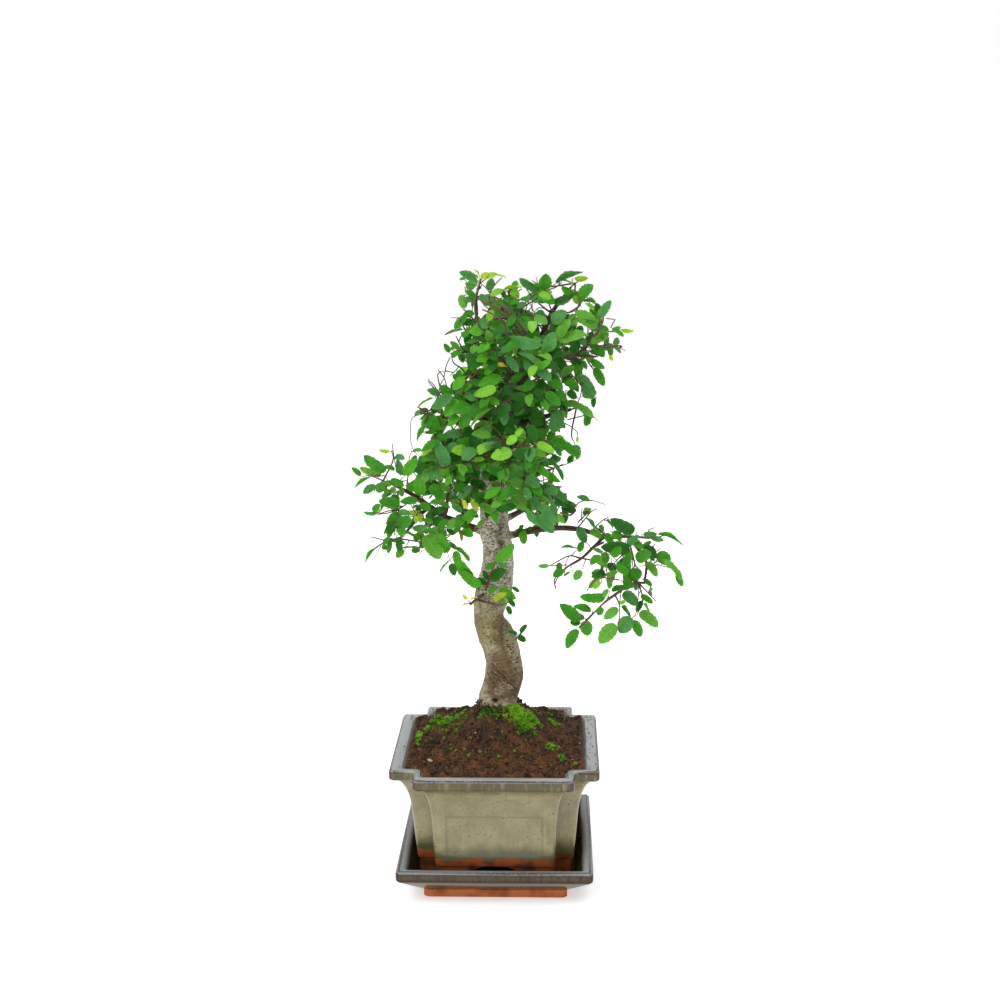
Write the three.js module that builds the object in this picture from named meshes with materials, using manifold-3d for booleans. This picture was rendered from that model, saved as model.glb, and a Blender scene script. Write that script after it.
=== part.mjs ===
// A zelkova bonsai in its glazed square pot, on the pot's saucer.
// Units are millimetres. +Z is up, +Y points away from the front of the pot.
// The origin is the middle of the saucer's flat underside.

import * as THREE from "three";
import { mergeVertices } from "three/addons/utils/BufferGeometryUtils.js";
import Module from "manifold-3d";

const wasm = await Module();
wasm.setup();

// Gaps between pieces that touch or stand in each other
const GAP = 0.3;

// Saucer: a square dish with a low foot under it
const SAUCER_HALF = 70.5;
const SAUCER_HEIGHT = 28;
const SAUCER_RIM_WIDTH = 7;
const SAUCER_RIM_BAND = 7.5;
const SAUCER_FLOOR = 12;
const SAUCER_FLOOR_HALF = 58;
const SAUCER_FOOT_HALF = 52;
const SAUCER_FOOT_HEIGHT = 6.4;
const SAUCER_CORNER = 3;
const SAUCER_FOOT_CORNER = 7;

// Pot: square in plan with a square step taken out of each corner
const POT_BOTTOM = SAUCER_FLOOR + GAP;
const POT_TOP = 100;
const POT_HALF = 75;
const POT_NOTCH = 18;
const POT_EDGE_ROUND = 1.6;
const RIM_WIDTH = 10;
const RIM_BAND = 7.5;
const POT_FLOOR = 33;
const FOOT_HALF = 54.5;
const FOOT_NOTCH = 13.5;
const FOOT_TOP = 26;
const FOOT_RING_WIDTH = 9.5;
const ARCH_HALF_WIDTH = 22;
const DRAIN_RADIUS = 8;

// Outside of the pot's wall, as [height, half width, corner notch]
const POT_WALL = [
  [POT_BOTTOM, FOOT_HALF, FOOT_NOTCH],
  [FOOT_TOP, FOOT_HALF + 1.1, FOOT_NOTCH],
  [FOOT_TOP + 1, FOOT_HALF + 2.2, FOOT_NOTCH + 0.4],
  [31, 57.1, 14],
  [45, 58.5, 14.5],
  [60, 59.6, 15],
  [72, 61, 15.5],
  [83, 64.5, 16.5],
  [POT_TOP - RIM_BAND - 2.5, 68.5, 17.5],
  [POT_TOP - RIM_BAND, POT_HALF - 1.5, POT_NOTCH],
  [POT_TOP - RIM_BAND + 1, POT_HALF, POT_NOTCH],
  [POT_TOP - 1, POT_HALF, POT_NOTCH],
  [POT_TOP, POT_HALF - 1, POT_NOTCH],
];

// Inside of the pot's wall, in the same form
const POT_INSIDE = [
  [POT_FLOOR, 50.5, 13],
  [60, 54.2, 15],
  [84, 58.8, 16],
  [96, 62.8, 13.5],
  [POT_TOP + 0.5, POT_HALF - RIM_WIDTH, 13],
];

// Soil: a mound that falls to the rim, with a steeper collar round the foot of the trunk
const SOIL_EDGE = 96.6;
const SOIL_MOUND = 21.5;
const SOIL_SPREAD = 31;
const SOIL_COLLAR = 14;
const SOIL_COLLAR_SPREAD = 16;
const SOIL_LUMP = 1.1;
const SOIL_CELL = 8.5;
const SOIL_BLOCK_BOTTOM = 20;
const SOIL_BLOCK_TOP = 140;

// Where the trunk leaves the soil
const TRUNK_X = 2;
const TRUNK_Y = 12;

// Trunk and leader, as [x, y, z, radius], from the buried foot to the cut knob at the top
const TRUNK = [
  [2, 12, 84, 10],
  [2, 12, 104, 13.5],
  [1.6, 12, 118, 16.4],
  [1, 12, 124, 15],
  [0.8, 12, 129, 13.6],
  [2.4, 12, 136, 13.4],
  [4.4, 12, 144, 14.2],
  [5.2, 12, 151, 14.3],
  [4.8, 12, 160, 13.8],
  [3, 12, 170, 13.7],
  [-0.6, 12, 180, 13.6],
  [-4, 12, 187, 11.4],
  [-5.5, 12, 195, 10.7],
  [-4.6, 12, 204, 11.6],
  [-1.2, 12, 215, 12.8],
  [0.7, 12, 223, 12.2],
  [1.7, 12, 233, 11.5],
  [1.4, 12, 246, 11],
  [-0.6, 12, 257, 11.4],
  [-0.8, 12, 266, 10.4],
  [-0.5, 12, 277, 10.1],
  [-2, 12, 297, 9.2],
  [1.7, 12, 311, 8.3],
  [12, 12, 332, 6.8],
  [17.8, 12, 351, 5.7],
  [19, 12, 366, 5.2],
  [26, 14, 383, 4.3],
  [31, 14, 392, 3.9],
  [33, 14, 400, 3.3],
];

// Number of the trunk's points that shape its hole in the soil
const BURIED_POINTS = 7;

// Boughs that grew out of the trunk, in the same form as the trunk
const BOUGHS = {
  left: [
    [-8, 12, 258, 3.6],
    [-18, 8, 262, 3.2],
    [-27, 3, 267, 2.9],
    [-36, -2, 272, 2.5],
    [-47, -5, 280, 2.2],
    [-57, -8, 289, 1.9],
    [-67, -9, 295, 1.6],
    [-76, -10, 300, 1.3],
  ],
  left_rise: [
    [-36, -2, 272, 1.9],
    [-34, -6, 279, 1.7],
    [-33, -9, 287, 1.5],
    [-31, -12, 297, 1.3],
    [-31, -14, 306, 1.1],
  ],
  left_low: [
    [-47, -5, 280, 1.7],
    [-53, -10, 275, 1.5],
    [-59, -14, 268, 1.3],
    [-65, -17, 261, 1.1],
  ],
  right: [
    [6, 12, 253, 3.4],
    [16, 8, 257, 3.0],
    [30, 3, 261, 2.7],
    [46, -3, 264, 2.4],
    [59, -6, 264, 2.2],
    [69, -8, 262, 2.0],
    [80, -10, 259, 1.8],
    [95, -12, 260, 1.4],
    [111, -13, 259, 1.1],
  ],
  right_low: [
    [95, -12, 260, 1.5],
    [102, -15, 252, 1.4],
    [108, -17, 243, 1.3],
    [107, -19, 228, 1.1],
  ],
  right_inner: [
    [78, -10, 259, 1.6],
    [71, -14, 253, 1.4],
    [62, -17, 245, 1.2],
    [53, -19, 240, 1.0],
  ],
  mid_left: [
    [-4, 12, 317, 3.2],
    [-12, 5, 325, 2.8],
    [-22, -3, 337, 2.3],
    [-30, -9, 351, 1.8],
    [-35, -12, 363, 1.3],
  ],
  mid_back: [
    [-4, 12, 321, 3.0],
    [-2, 30, 329, 2.5],
    [0, 47, 338, 2.0],
    [2, 60, 345, 1.5],
  ],
  mid_front: [
    [-2, 12, 297, 3.0],
    [3, -6, 309, 2.6],
    [10, -24, 319, 2.1],
    [17, -40, 327, 1.6],
  ],
  mid_right: [
    [13, 12, 334, 2.9],
    [26, 7, 340, 2.5],
    [40, 2, 345, 2.0],
    [55, -3, 350, 1.5],
  ],
  upper_left: [
    [-3, 12, 322, 4.4],
    [-6, 10, 338, 4.0],
    [-9, 5, 356, 3.4],
    [-13, 0, 372, 2.8],
    [-17, -4, 388, 2.3],
    [-16, -6, 402, 1.8],
    [-11, -7, 416, 1.4],
    [-11, -8, 429, 1.1],
  ],
  upper_back: [
    [18, 12, 363, 2.8],
    [20, 30, 373, 2.3],
    [20, 46, 384, 1.9],
    [17, 58, 393, 1.4],
  ],
  upper_front: [
    [18, 12, 358, 2.6],
    [15, -6, 370, 2.2],
    [11, -24, 381, 1.8],
    [6, -38, 390, 1.3],
  ],
  top_left: [
    [29, 14, 387, 3.0],
    [22, 12, 401, 2.8],
    [14, 8, 410, 2.5],
    [9, 5, 417, 2.2],
    [1, 2, 423, 1.9],
    [-7, 0, 426, 1.5],
  ],
  top_right: [
    [26, 14, 383, 2.8],
    [39, 11, 385, 2.4],
    [51, 8, 386, 2.1],
    [60, 5, 388, 1.8],
    [68, 2, 397, 1.5],
    [75, 0, 406, 1.1],
  ],
  top: [
    [32, 14, 393, 3.0],
    [36, 13, 404, 2.4],
    [41, 11, 416, 2.0],
    [48, 9, 426, 1.5],
    [55, 8, 435, 1.1],
  ],
  low_back_left: [
    [-8, 12, 277, 3.0],
    [-16, 29, 279, 2.5],
    [-26, 45, 282, 2.0],
    [-34, 58, 285, 1.5],
  ],
  low_back_right: [
    [4, 12, 287, 3.0],
    [16, 27, 290, 2.5],
    [29, 41, 293, 2.0],
    [40, 53, 295, 1.5],
  ],
  low_front: [
    [1, 12, 281, 2.8],
    [8, -8, 292, 2.3],
    [13, -22, 299, 1.8],
    [19, -34, 305, 1.4],
  ],
  right_back: [
    [6, 12, 266, 3.0],
    [17, 34, 267, 2.4],
    [26, 54, 267, 1.9],
    [32, 70, 268, 1.4],
  ],
};

// Leafy sprays: the length of their leaves, and for each shoot its number of leaves and its route to its tip
// as [x, y, z]. The first shoot starts inside the bough that it grows on, and the others start at a share
// of the first shoot, which stands before their route.
const SPRAYS = {
  left_tip: {
    leaf: 15,
    shoots: [
      [4, [-75, -10, 299], [-79, -12, 301], [-83, -13, 303], [-87, -15, 305]],
      [4, 0.27, [-70, -18, 318], [-71, -20, 324]],
    ],
  },
  left_front: {
    leaf: 15,
    shoots: [
      [3, [-57, -8, 289], [-63, -18, 284], [-72, -26, 281], [-80, -32, 281]],
      [3, 0.5, [-64, -30, 276], [-70, -36, 272]],
    ],
  },
  left_drop: {
    leaf: 15,
    shoots: [
      [4, [-65, -17, 261], [-74, -20, 259], [-80, -23, 257], [-88, -26, 252]],
      [2, 0.13, [-67, -20, 255], [-67, -22, 250]],
      [2, 0.13, [-46, -28, 259]],
    ],
  },
  left_rise: {
    leaf: 15,
    shoots: [
      [3, [-31, -12, 297], [-34, -16, 309], [-40, -20, 319], [-44, -22, 325]],
      [3, 0.37, [-26, -20, 316], [-20, -26, 324]],
    ],
  },
  left_top: {
    leaf: 14.5,
    shoots: [
      [3, [-54, -7, 287], [-54, -12, 300], [-51, -16, 309], [-48, -18, 315]],
    ],
  },
  left_inner: {
    leaf: 13.5,
    shoots: [
      [3, [-27, 3, 267], [-30, -8, 262], [-35, -16, 258], [-38, -22, 254]],
    ],
  },
  left_back: {
    leaf: 15.5,
    shoots: [
      [3, [-47, -5, 280], [-52, 14, 281], [-58, 30, 283], [-63, 42, 285]],
      [3, 0.3, [-41, 18, 271], [-45, 34, 270], [-50, 46, 270]],
    ],
  },
  right_top: {
    leaf: 14.5,
    shoots: [
      [3, [59, -6, 264], [64, -9, 271], [69, -12, 278], [73, -15, 281]],
    ],
  },
  right_end: {
    leaf: 13.5,
    shoots: [
      [3, [111, -13, 259], [116, -15, 260], [120, -17, 262], [125, -18, 262]],
      [2, 0.23, [109, -20, 266], [113, -26, 270]],
    ],
  },
  right_far: {
    leaf: 17,
    shoots: [
      [3, [108, -18, 237], [112, -20, 240], [116, -22, 242], [120, -23, 241]],
      [2, 0.23, [113, -10, 246], [119, -4, 249]],
    ],
  },
  right_hang: {
    leaf: 17.5,
    shoots: [
      [4, [107, -19, 228], [97, -22, 227], [87, -25, 221], [77, -27, 214], [67, -29, 205], [60, -30, 198]],
      [3, 0.42, [89, -27, 214], [89, -29, 208]],
      [3, 0.08, [106, -16, 213], [102, -18, 204]],
      [2, 0.08, [116, -9, 211]],
    ],
  },
  right_inner: {
    leaf: 13.5,
    shoots: [
      [3, [62, -17, 245], [54, -24, 249], [46, -30, 247], [39, -34, 244]],
      [3, 0.13, [78, -30, 244], [80, -34, 238]],
    ],
  },
  right_mid: {
    leaf: 15,
    shoots: [
      [3, [98, -13, 257], [93, -24, 252], [87, -34, 249], [83, -40, 246]],
      [2, 0.1, [100, -8, 236], [93, 0, 231]],
    ],
  },
  right_back: {
    leaf: 15.5,
    shoots: [
      [3, [69, -8, 262], [73, 10, 262], [79, 26, 263], [83, 38, 262]],
      [3, 0.3, [86, 8, 251], [93, 24, 244], [97, 36, 240]],
    ],
  },
  shoot_low: {
    leaf: 10.5,
    shoots: [
      [2, [-10, 8, 208], [-15, -3, 209], [-21, -7, 208]],
      [3, 0.25, [-1, -6, 208], [5, -12, 209], [12, -14, 213]],
    ],
  },
  shoot_mid: {
    leaf: 12.5,
    shoots: [
      [4, [-6, 5, 217], [-4, -3, 225], [-2, -6, 233], [1, -9, 240]],
    ],
  },
  shoot_strap: {
    leaf: 13.5,
    shoots: [
      [3, [-11, 8, 214], [-17, -1, 222], [-23, -4, 229], [-27, -6, 238], [-30, -7, 246]],
    ],
  },
  shoot_right: {
    leaf: 9,
    shoots: [
      [2, [14, 10, 176], [18, 6, 181], [20, 3, 185]],
    ],
  },
  apex_left: {
    leaf: 12,
    shoots: [
      [3, [-11, -8, 428], [-10, -9, 432], [-9, -10, 436], [-8, -10, 439]],
      [2, 0.3, [-18, -2, 432], [-19, 0, 436]],
    ],
  },
  apex_mid: {
    leaf: 13,
    shoots: [
      [3, [-3, 1, 425], [-1, -4, 433], [3, -8, 439], [7, -11, 443]],
      [3, 0.23, [9, -8, 427], [15, -14, 432], [21, -18, 436]],
    ],
  },
  top_tip: {
    leaf: 13.5,
    shoots: [
      [2, [55, 8, 435], [57, 7, 437], [60, 5, 439]],
      [3, 0.6, [37, 0, 436], [33, -3, 439]],
      [2, 0.6, [58, 0, 431], [63, -6, 433]],
    ],
  },
  top_side: {
    leaf: 15,
    shoots: [
      [3, [41, 11, 416], [33, 6, 423], [28, 2, 428], [24, -2, 434]],
      [3, 0.1, [55, -8, 419], [61, -14, 424]],
    ],
  },
  top_right_tip: {
    leaf: 14,
    shoots: [
      [2, [74, 0, 405], [77, -2, 412], [77, -3, 417]],
      [3, 0.25, [80, -4, 405], [85, -6, 405]],
    ],
  },
  top_right_front: {
    leaf: 16,
    shoots: [
      [3, [60, 5, 388], [64, -8, 396], [66, -16, 405], [66, -20, 412]],
      [2, 0.23, [55, -6, 397], [55, -14, 404]],
    ],
  },
  right_upper: {
    leaf: 15,
    shoots: [
      [3, [63, 4, 392], [67, 6, 382], [73, 4, 374], [75, 2, 369]],
      [3, 0.17, [54, -2, 378], [60, -10, 370], [64, -16, 366]],
    ],
  },
  right_upper_back: {
    leaf: 15.5,
    shoots: [
      [3, [51, 8, 386], [57, 24, 388], [63, 36, 392], [68, 46, 394]],
      [3, 0.23, [44, 28, 376], [49, 42, 369], [53, 54, 362]],
    ],
  },
  mid_right_tip: {
    leaf: 15.5,
    shoots: [
      [2, [55, -3, 350], [60, -5, 352], [65, -7, 353]],
      [3, 0.35, [55, -14, 333], [57, -18, 329]],
    ],
  },
  mid_right_front: {
    leaf: 15.5,
    shoots: [
      [3, [36, 3, 344], [36, -8, 338], [36, -16, 331], [38, -22, 325]],
      [3, 0.3, [24, -8, 336], [22, -18, 331]],
    ],
  },
  mid_right_back: {
    leaf: 15.5,
    shoots: [
      [3, [43, 1, 346], [48, 20, 346], [53, 36, 347], [57, 46, 347]],
      [3, 0.27, [34, 24, 332], [39, 38, 323], [43, 48, 317]],
    ],
  },
  mid_front_a: {
    leaf: 16,
    shoots: [
      [2, [17, -40, 327], [21, -48, 334], [26, -54, 340]],
      [3, 0.2, [2, -48, 339]],
    ],
  },
  mid_front_b: {
    leaf: 17,
    shoots: [
      [3, [10, -24, 319], [17, -36, 316], [22, -44, 312], [26, -48, 309]],
      [3, 0.1, [-9, -38, 321], [-15, -44, 320]],
    ],
  },
  low_front_a: {
    leaf: 16,
    shoots: [
      [3, [19, -34, 305], [25, -40, 300], [29, -42, 294], [33, -42, 286]],
    ],
  },
  low_front_b: {
    leaf: 15.5,
    shoots: [
      [2, [16, -28, 302], [11, -38, 297], [6, -44, 293]],
      [3, 0.15, [1, -20, 292], [-4, -33, 291]],
    ],
  },
  mid_left_tip: {
    leaf: 12.5,
    shoots: [
      [2, [-35, -12, 362], [-37, -15, 370], [-38, -17, 377]],
      [3, 0.2, [-45, -16, 351], [-51, -18, 354]],
    ],
  },
  mid_left_low: {
    leaf: 15,
    shoots: [
      [3, [-27, -7, 345], [-34, -16, 342], [-42, -22, 339], [-48, -26, 338]],
      [3, 0.17, [-26, -14, 330], [-33, -22, 325], [-36, -28, 322]],
    ],
  },
  mid_left_front: {
    leaf: 15.5,
    shoots: [
      [3, [-24, -5, 341], [-21, -20, 352], [-19, -30, 361]],
      [3, 0.1, [-14, -26, 324]],
    ],
  },
  mid_left_back: {
    leaf: 15.5,
    shoots: [
      [3, [-19, -1, 334], [-28, 18, 336], [-35, 32, 336], [-41, 43, 336]],
      [3, 0.23, [-20, 22, 316], [-27, 36, 307], [-32, 46, 302]],
    ],
  },
  upper_left_low: {
    leaf: 14.5,
    shoots: [
      [3, [-9, 5, 356], [-16, -8, 361], [-22, -18, 366], [-25, -24, 373]],
      [3, 0.47, [-20, -8, 378], [-27, -14, 385], [-28, -18, 392]],
    ],
  },
  upper_left_tip: {
    leaf: 13.5,
    shoots: [
      [2, [-17, -4, 388], [-22, -8, 396], [-25, -12, 403]],
      [3, 0.35, [-8, -18, 401], [-2, -28, 406]],
    ],
  },
  upper_left_back: {
    leaf: 15,
    shoots: [
      [3, [-15, -1, 377], [-17, 20, 378], [-23, 36, 381], [-27, 46, 384]],
      [3, 0.13, [-17, 12, 408], [-17, 28, 411], [-17, 40, 413]],
    ],
  },
  upper_front_a: {
    leaf: 16,
    shoots: [
      [2, [6, -38, 390], [3, -44, 397], [-1, -48, 402]],
      [3, 0.2, [-4, -44, 376], [-10, -48, 373]],
    ],
  },
  upper_front_b: {
    leaf: 17,
    shoots: [
      [3, [12, -16, 376], [20, -30, 382], [27, -40, 389], [31, -46, 395]],
      [3, 0.1, [23, -20, 369], [32, -30, 368], [39, -36, 367]],
      [3, 0.1, [8, -26, 368], [5, -36, 362], [1, -42, 358]],
    ],
  },
  top_front: {
    leaf: 16,
    shoots: [
      [3, [14, 8, 410], [19, -8, 415], [24, -20, 420], [28, -28, 425]],
      [3, 0.23, [29, -6, 402], [36, -20, 404], [41, -30, 405]],
      [3, 0.23, [4, -10, 415], [0, -22, 413], [-3, -30, 409]],
    ],
  },
  top_back: {
    leaf: 15.5,
    shoots: [
      [3, [17, 10, 407], [11, 26, 411], [6, 40, 415], [2, 50, 418]],
      [3, 0.07, [40, 30, 406], [43, 42, 409]],
    ],
  },
  back_high: {
    leaf: 16,
    shoots: [
      [3, [20, 46, 384], [28, 58, 387], [34, 66, 390]],
      [3, 0.15, [3, 62, 375], [-4, 68, 375]],
    ],
  },
  back_mid_a: {
    leaf: 16,
    shoots: [
      [2, [2, 60, 345], [-2, 68, 349], [-7, 73, 352]],
      [3, 0.2, [5, 73, 322]],
    ],
  },
  back_mid_b: {
    leaf: 16,
    shoots: [
      [3, [0, 47, 338], [8, 60, 338], [16, 68, 340], [22, 74, 341]],
      [3, 0.1, [-16, 64, 333]],
    ],
  },
  low_back_l: {
    leaf: 15.5,
    shoots: [
      [3, [-26, 45, 282], [-34, 58, 275], [-40, 66, 271]],
      [3, 0.15, [-18, 62, 290]],
    ],
  },
  low_back_r: {
    leaf: 15.5,
    shoots: [
      [2, [40, 53, 295], [46, 60, 296], [50, 65, 297]],
      [3, 0.2, [39, 62, 277]],
      [3, 0.2, [20, 60, 301]],
    ],
  },
  back_low: {
    leaf: 15.5,
    shoots: [
      [3, [26, 54, 267], [18, 66, 266], [12, 75, 264]],
      [3, 0.15, [37, 64, 256]],
    ],
  },
};

// Tree build
const UP = new THREE.Vector3(0, 0, 1);
const TRUNK_SIDES = 12;
const BOUGH_SIDES = 5;

// Twig of a shoot: half its width and half its thickness, and their share that is left at its tip
const TWIG_HALF_WIDTH = 0.95;
const TWIG_HALF_THICKNESS = 0.75;
const TWIG_TIP_SHARE = 0.6;

// Leaf blade: one side of its toothed outline from base to tip,
// as [share of the length, half width as a share of the length]
const LARGE_LEAF = 16.2;
const LARGE_LEAF_SIDE = [
  [0.16, 0.23],
  [0.45, 0.31],
  [0.53, 0.27],
  [0.8, 0.22],
];
const SMALL_LEAF_SIDE = [
  [0.18, 0.25],
  [0.6, 0.3],
  [0.7, 0.24],
];
const LEAF_HALF_THICKNESS = 0.33;
const LEAF_ROOT_HALF = 0.9;
const FACE_UP = 0.55;
const FACE_OUT = 0.8;
const LEAF_FOLD = 0.2;
const LEAF_BOW = 0.12;
const LEAF_SPREAD = 0.95;
const LEAF_DROOP = 0.25;
const LEAF_ROLL = 0.45;
const LEAF_SIZE_VARIES = 0.3;
const FIRST_LEAF = 0.3;
const LEAF_CLEAR = 1.6;

// Turns a closed geometry into a solid that can be joined and cut
function solid(geometry) {
  const bare = geometry.clone();
  bare.deleteAttribute("normal");
  bare.deleteAttribute("uv");
  const merged = mergeVertices(bare, 1e-4);
  const vertProperties = merged.attributes.position.array;
  const triVerts = new Uint32Array(merged.index.array);
  return new wasm.Manifold(new wasm.Mesh({ numProp: 3, vertProperties, triVerts }));
}

// Turns a solid into a named mesh
function mesh(name, shape, material) {
  const { vertProperties, triVerts } = shape.getMesh();
  const geometry = new THREE.BufferGeometry();
  geometry.setAttribute("position", new THREE.BufferAttribute(vertProperties, 3));
  geometry.setIndex(new THREE.BufferAttribute(triVerts, 1));
  geometry.computeVertexNormals();
  const piece = new THREE.Mesh(geometry, material);
  piece.name = name;
  return piece;
}

// The largest body of a solid, without the scraps that a cut left loose
function largestBody(shape) {
  return shape.decompose().reduce((best, body) => (body.volume() > best.volume() ? body : best));
}

// Joins rings of equal count into a closed skin, with flat caps on the first and the last
function loft(rings) {
  const count = rings[0].length;
  const points = rings.flat();
  const faces = [];
  for (let ring = 0; ring + 1 < rings.length; ring++) {
    for (let i = 0; i < count; i++) {
      const a = ring * count + i;
      const b = ring * count + ((i + 1) % count);
      faces.push(a, b, b + count, a, b + count, a + count);
    }
  }
  const last = (rings.length - 1) * count;
  for (const [a, b, c] of capFaces(rings[0])) {
    faces.push(a, c, b, last + a, last + b, last + c);
  }
  const geometry = new THREE.BufferGeometry().setFromPoints(points);
  geometry.setIndex(faces);
  return solid(geometry);
}

// Triangles that fill a ring, seen from the side its loft grows towards
function capFaces(ring) {
  const level = ring.every((point) => Math.abs(point.z - ring[0].z) < 1e-6);
  if (level) {
    return THREE.ShapeUtils.triangulateShape(ring.map(({ x, y }) => new THREE.Vector2(x, y)), []);
  }
  return ring.slice(2).map((_, i) => [0, i + 1, i + 2]);
}

// Plan of a square with rounded corners, anticlockwise from above
function roundedSquare(z, half, corner) {
  const ring = [];
  for (let quarter = 0; quarter < 4; quarter++) {
    for (let step = 0; step <= 2; step++) {
      const angle = (quarter + step / 2) * (Math.PI / 2);
      const [sx, sy] = [[1, 1], [-1, 1], [-1, -1], [1, -1]][quarter];
      const x = sx * (half - corner) + corner * Math.cos(angle);
      const y = sy * (half - corner) + corner * Math.sin(angle);
      ring.push(new THREE.Vector3(x, y, z));
    }
  }
  return ring;
}

// Plan of a square with a square step taken out of each corner, anticlockwise from above
function notchedSquare(z, half, notch) {
  const inner = half - notch;
  const round = POT_EDGE_ROUND;
  const corner = [
    [half, inner - round],
    [half - round, inner],
    [inner, inner],
    [inner, half - round],
    [inner - round, half],
  ];
  const ring = [];
  for (let quarter = 0; quarter < 4; quarter++) {
    const angle = quarter * (Math.PI / 2);
    for (const [x, y] of corner) {
      ring.push(new THREE.Vector3(x, y, z).applyAxisAngle(UP, angle));
    }
  }
  return ring;
}

// A rod through the whole pot along Y whose section is half an ellipse, for the foot's arches
function archCutter() {
  const arch = new THREE.Shape();
  arch.absellipse(0, 0, ARCH_HALF_WIDTH, FOOT_TOP - POT_BOTTOM - GAP, 0, Math.PI, false);
  arch.lineTo(-ARCH_HALF_WIDTH, -1);
  arch.lineTo(ARCH_HALF_WIDTH, -1);
  const depth = 2 * POT_HALF;
  const rod = new THREE.ExtrudeGeometry(arch, { depth, bevelEnabled: false, curveSegments: 5 });
  rod.translate(0, 0, -depth / 2);
  rod.rotateX(Math.PI / 2);
  rod.translate(0, 0, POT_BOTTOM);
  return rod;
}

function buildSaucer() {
  const outside = loft([
    roundedSquare(0, SAUCER_FOOT_HALF - 0.8, SAUCER_FOOT_CORNER),
    roundedSquare(0.8, SAUCER_FOOT_HALF, SAUCER_FOOT_CORNER),
    roundedSquare(SAUCER_FOOT_HEIGHT, SAUCER_FOOT_HALF, SAUCER_FOOT_CORNER),
    roundedSquare(SAUCER_HEIGHT - SAUCER_RIM_BAND, SAUCER_HALF, SAUCER_CORNER),
    roundedSquare(SAUCER_HEIGHT - 0.8, SAUCER_HALF, SAUCER_CORNER),
    roundedSquare(SAUCER_HEIGHT, SAUCER_HALF - 0.8, SAUCER_CORNER),
  ]);
  const hollow = loft([
    roundedSquare(SAUCER_FLOOR, SAUCER_FLOOR_HALF, SAUCER_CORNER),
    roundedSquare(SAUCER_HEIGHT + 1, SAUCER_HALF - SAUCER_RIM_WIDTH, SAUCER_CORNER),
  ]);
  return outside.subtract(hollow);
}

function buildPot() {
  const outside = loft(POT_WALL.map(([z, half, notch]) => notchedSquare(z, half, notch)));
  const inside = loft(POT_INSIDE.map(([z, half, notch]) => notchedSquare(z, half, notch)));
  const footHollow = loft([
    notchedSquare(POT_BOTTOM - 1, FOOT_HALF - FOOT_RING_WIDTH, FOOT_NOTCH),
    notchedSquare(FOOT_TOP, FOOT_HALF - FOOT_RING_WIDTH, FOOT_NOTCH),
  ]);
  const arch = archCutter();
  const drain = new THREE.CylinderGeometry(DRAIN_RADIUS, DRAIN_RADIUS, 2 * POT_FLOOR, 12);
  drain.rotateX(Math.PI / 2);
  return outside
    .subtract(inside)
    .subtract(footHollow)
    .subtract(solid(arch))
    .subtract(solid(arch.clone().rotateZ(Math.PI / 2)))
    .subtract(solid(drain));
}

// Height of the soil's surface: a mound and a collar round the trunk, with lumps
function soilHeight(x, y) {
  const fromTrunk = Math.hypot(x - TRUNK_X, y - TRUNK_Y);
  const mound = SOIL_MOUND * Math.exp(-0.5 * (fromTrunk / SOIL_SPREAD) ** 2);
  const collar = SOIL_COLLAR * Math.exp(-0.5 * (fromTrunk / SOIL_COLLAR_SPREAD) ** 2);
  const lumps = Math.sin(0.31 * x + 0.9) * Math.sin(0.27 * y + 0.4) + 0.6 * Math.sin(0.63 * x - 0.51 * y);
  return SOIL_EDGE + mound + collar + SOIL_LUMP * lumps;
}

function buildSoil() {
  const cells = Math.ceil((2 * POT_HALF) / SOIL_CELL);
  const surface = new THREE.BoxGeometry(2 * POT_HALF, 2 * POT_HALF, 1, cells, cells, 1);
  const place = surface.attributes.position;
  for (let i = 0; i < place.count; i++) {
    const top = soilHeight(place.getX(i), place.getY(i));
    place.setZ(i, place.getZ(i) > 0 ? top : SOIL_BLOCK_BOTTOM);
  }
  const inset = ([z, half, notch]) => notchedSquare(z + GAP, half - GAP, notch);
  const [, rimHalf, rimNotch] = POT_INSIDE.at(-1);
  const filled = loft([
    ...POT_INSIDE.map(inset),
    notchedSquare(SOIL_BLOCK_TOP, rimHalf - GAP, rimNotch),
  ]);
  const [[x, y, z, radius], ...rest] = TRUNK.slice(0, BURIED_POINTS);
  const hole = limb([[x, y, z - 1, radius], ...rest], TRUNK_SIDES, GAP, trunkRelief);
  return solid(surface).intersect(filled).subtract(hole);
}

// Ridges that run up the trunk and turn slowly with its height, as a factor on its radius
function trunkRelief(angle, z) {
  const flare = 0.1 * Math.exp(-(((z - 118) / 9) ** 2)) * Math.cos(3 * angle + 0.5);
  return 1 + flare + 0.045 * Math.cos(2 * angle + z / 14) + 0.03 * Math.cos(5 * angle - z / 8);
}

// A solid limb along a smooth route of [x, y, z, radius], made thicker by grow
function limb(route, sides, grow = 0, relief = () => 1) {
  const line = new THREE.CatmullRomCurve3(route.map(([x, y, z]) => new THREE.Vector3(x, y, z)));
  const side = new THREE.Vector3(0.3, 0.9, 0.2);
  const rings = route.map(([, , z, radius], i) => {
    const share = i / (route.length - 1);
    const middle = line.getPoint(share);
    const along = line.getTangent(share);
    side.addScaledVector(along, -side.dot(along)).normalize();
    const other = new THREE.Vector3().crossVectors(along, side);
    return Array.from({ length: sides }, (_, k) => {
      const angle = (2 * Math.PI * k) / sides;
      const reach = radius * relief(angle, z) + grow;
      return middle
        .clone()
        .addScaledVector(side, reach * Math.cos(angle))
        .addScaledVector(other, reach * Math.sin(angle));
    });
  });
  return loft(rings);
}

// The tree's wood without its twigs, made thicker by grow
function wood(grow) {
  const limbs = [limb(TRUNK, TRUNK_SIDES, grow, trunkRelief)];
  for (const route of Object.values(BOUGHS)) {
    limbs.push(limb(route, BOUGH_SIDES, grow));
  }
  return wasm.Manifold.union(limbs);
}

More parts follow.
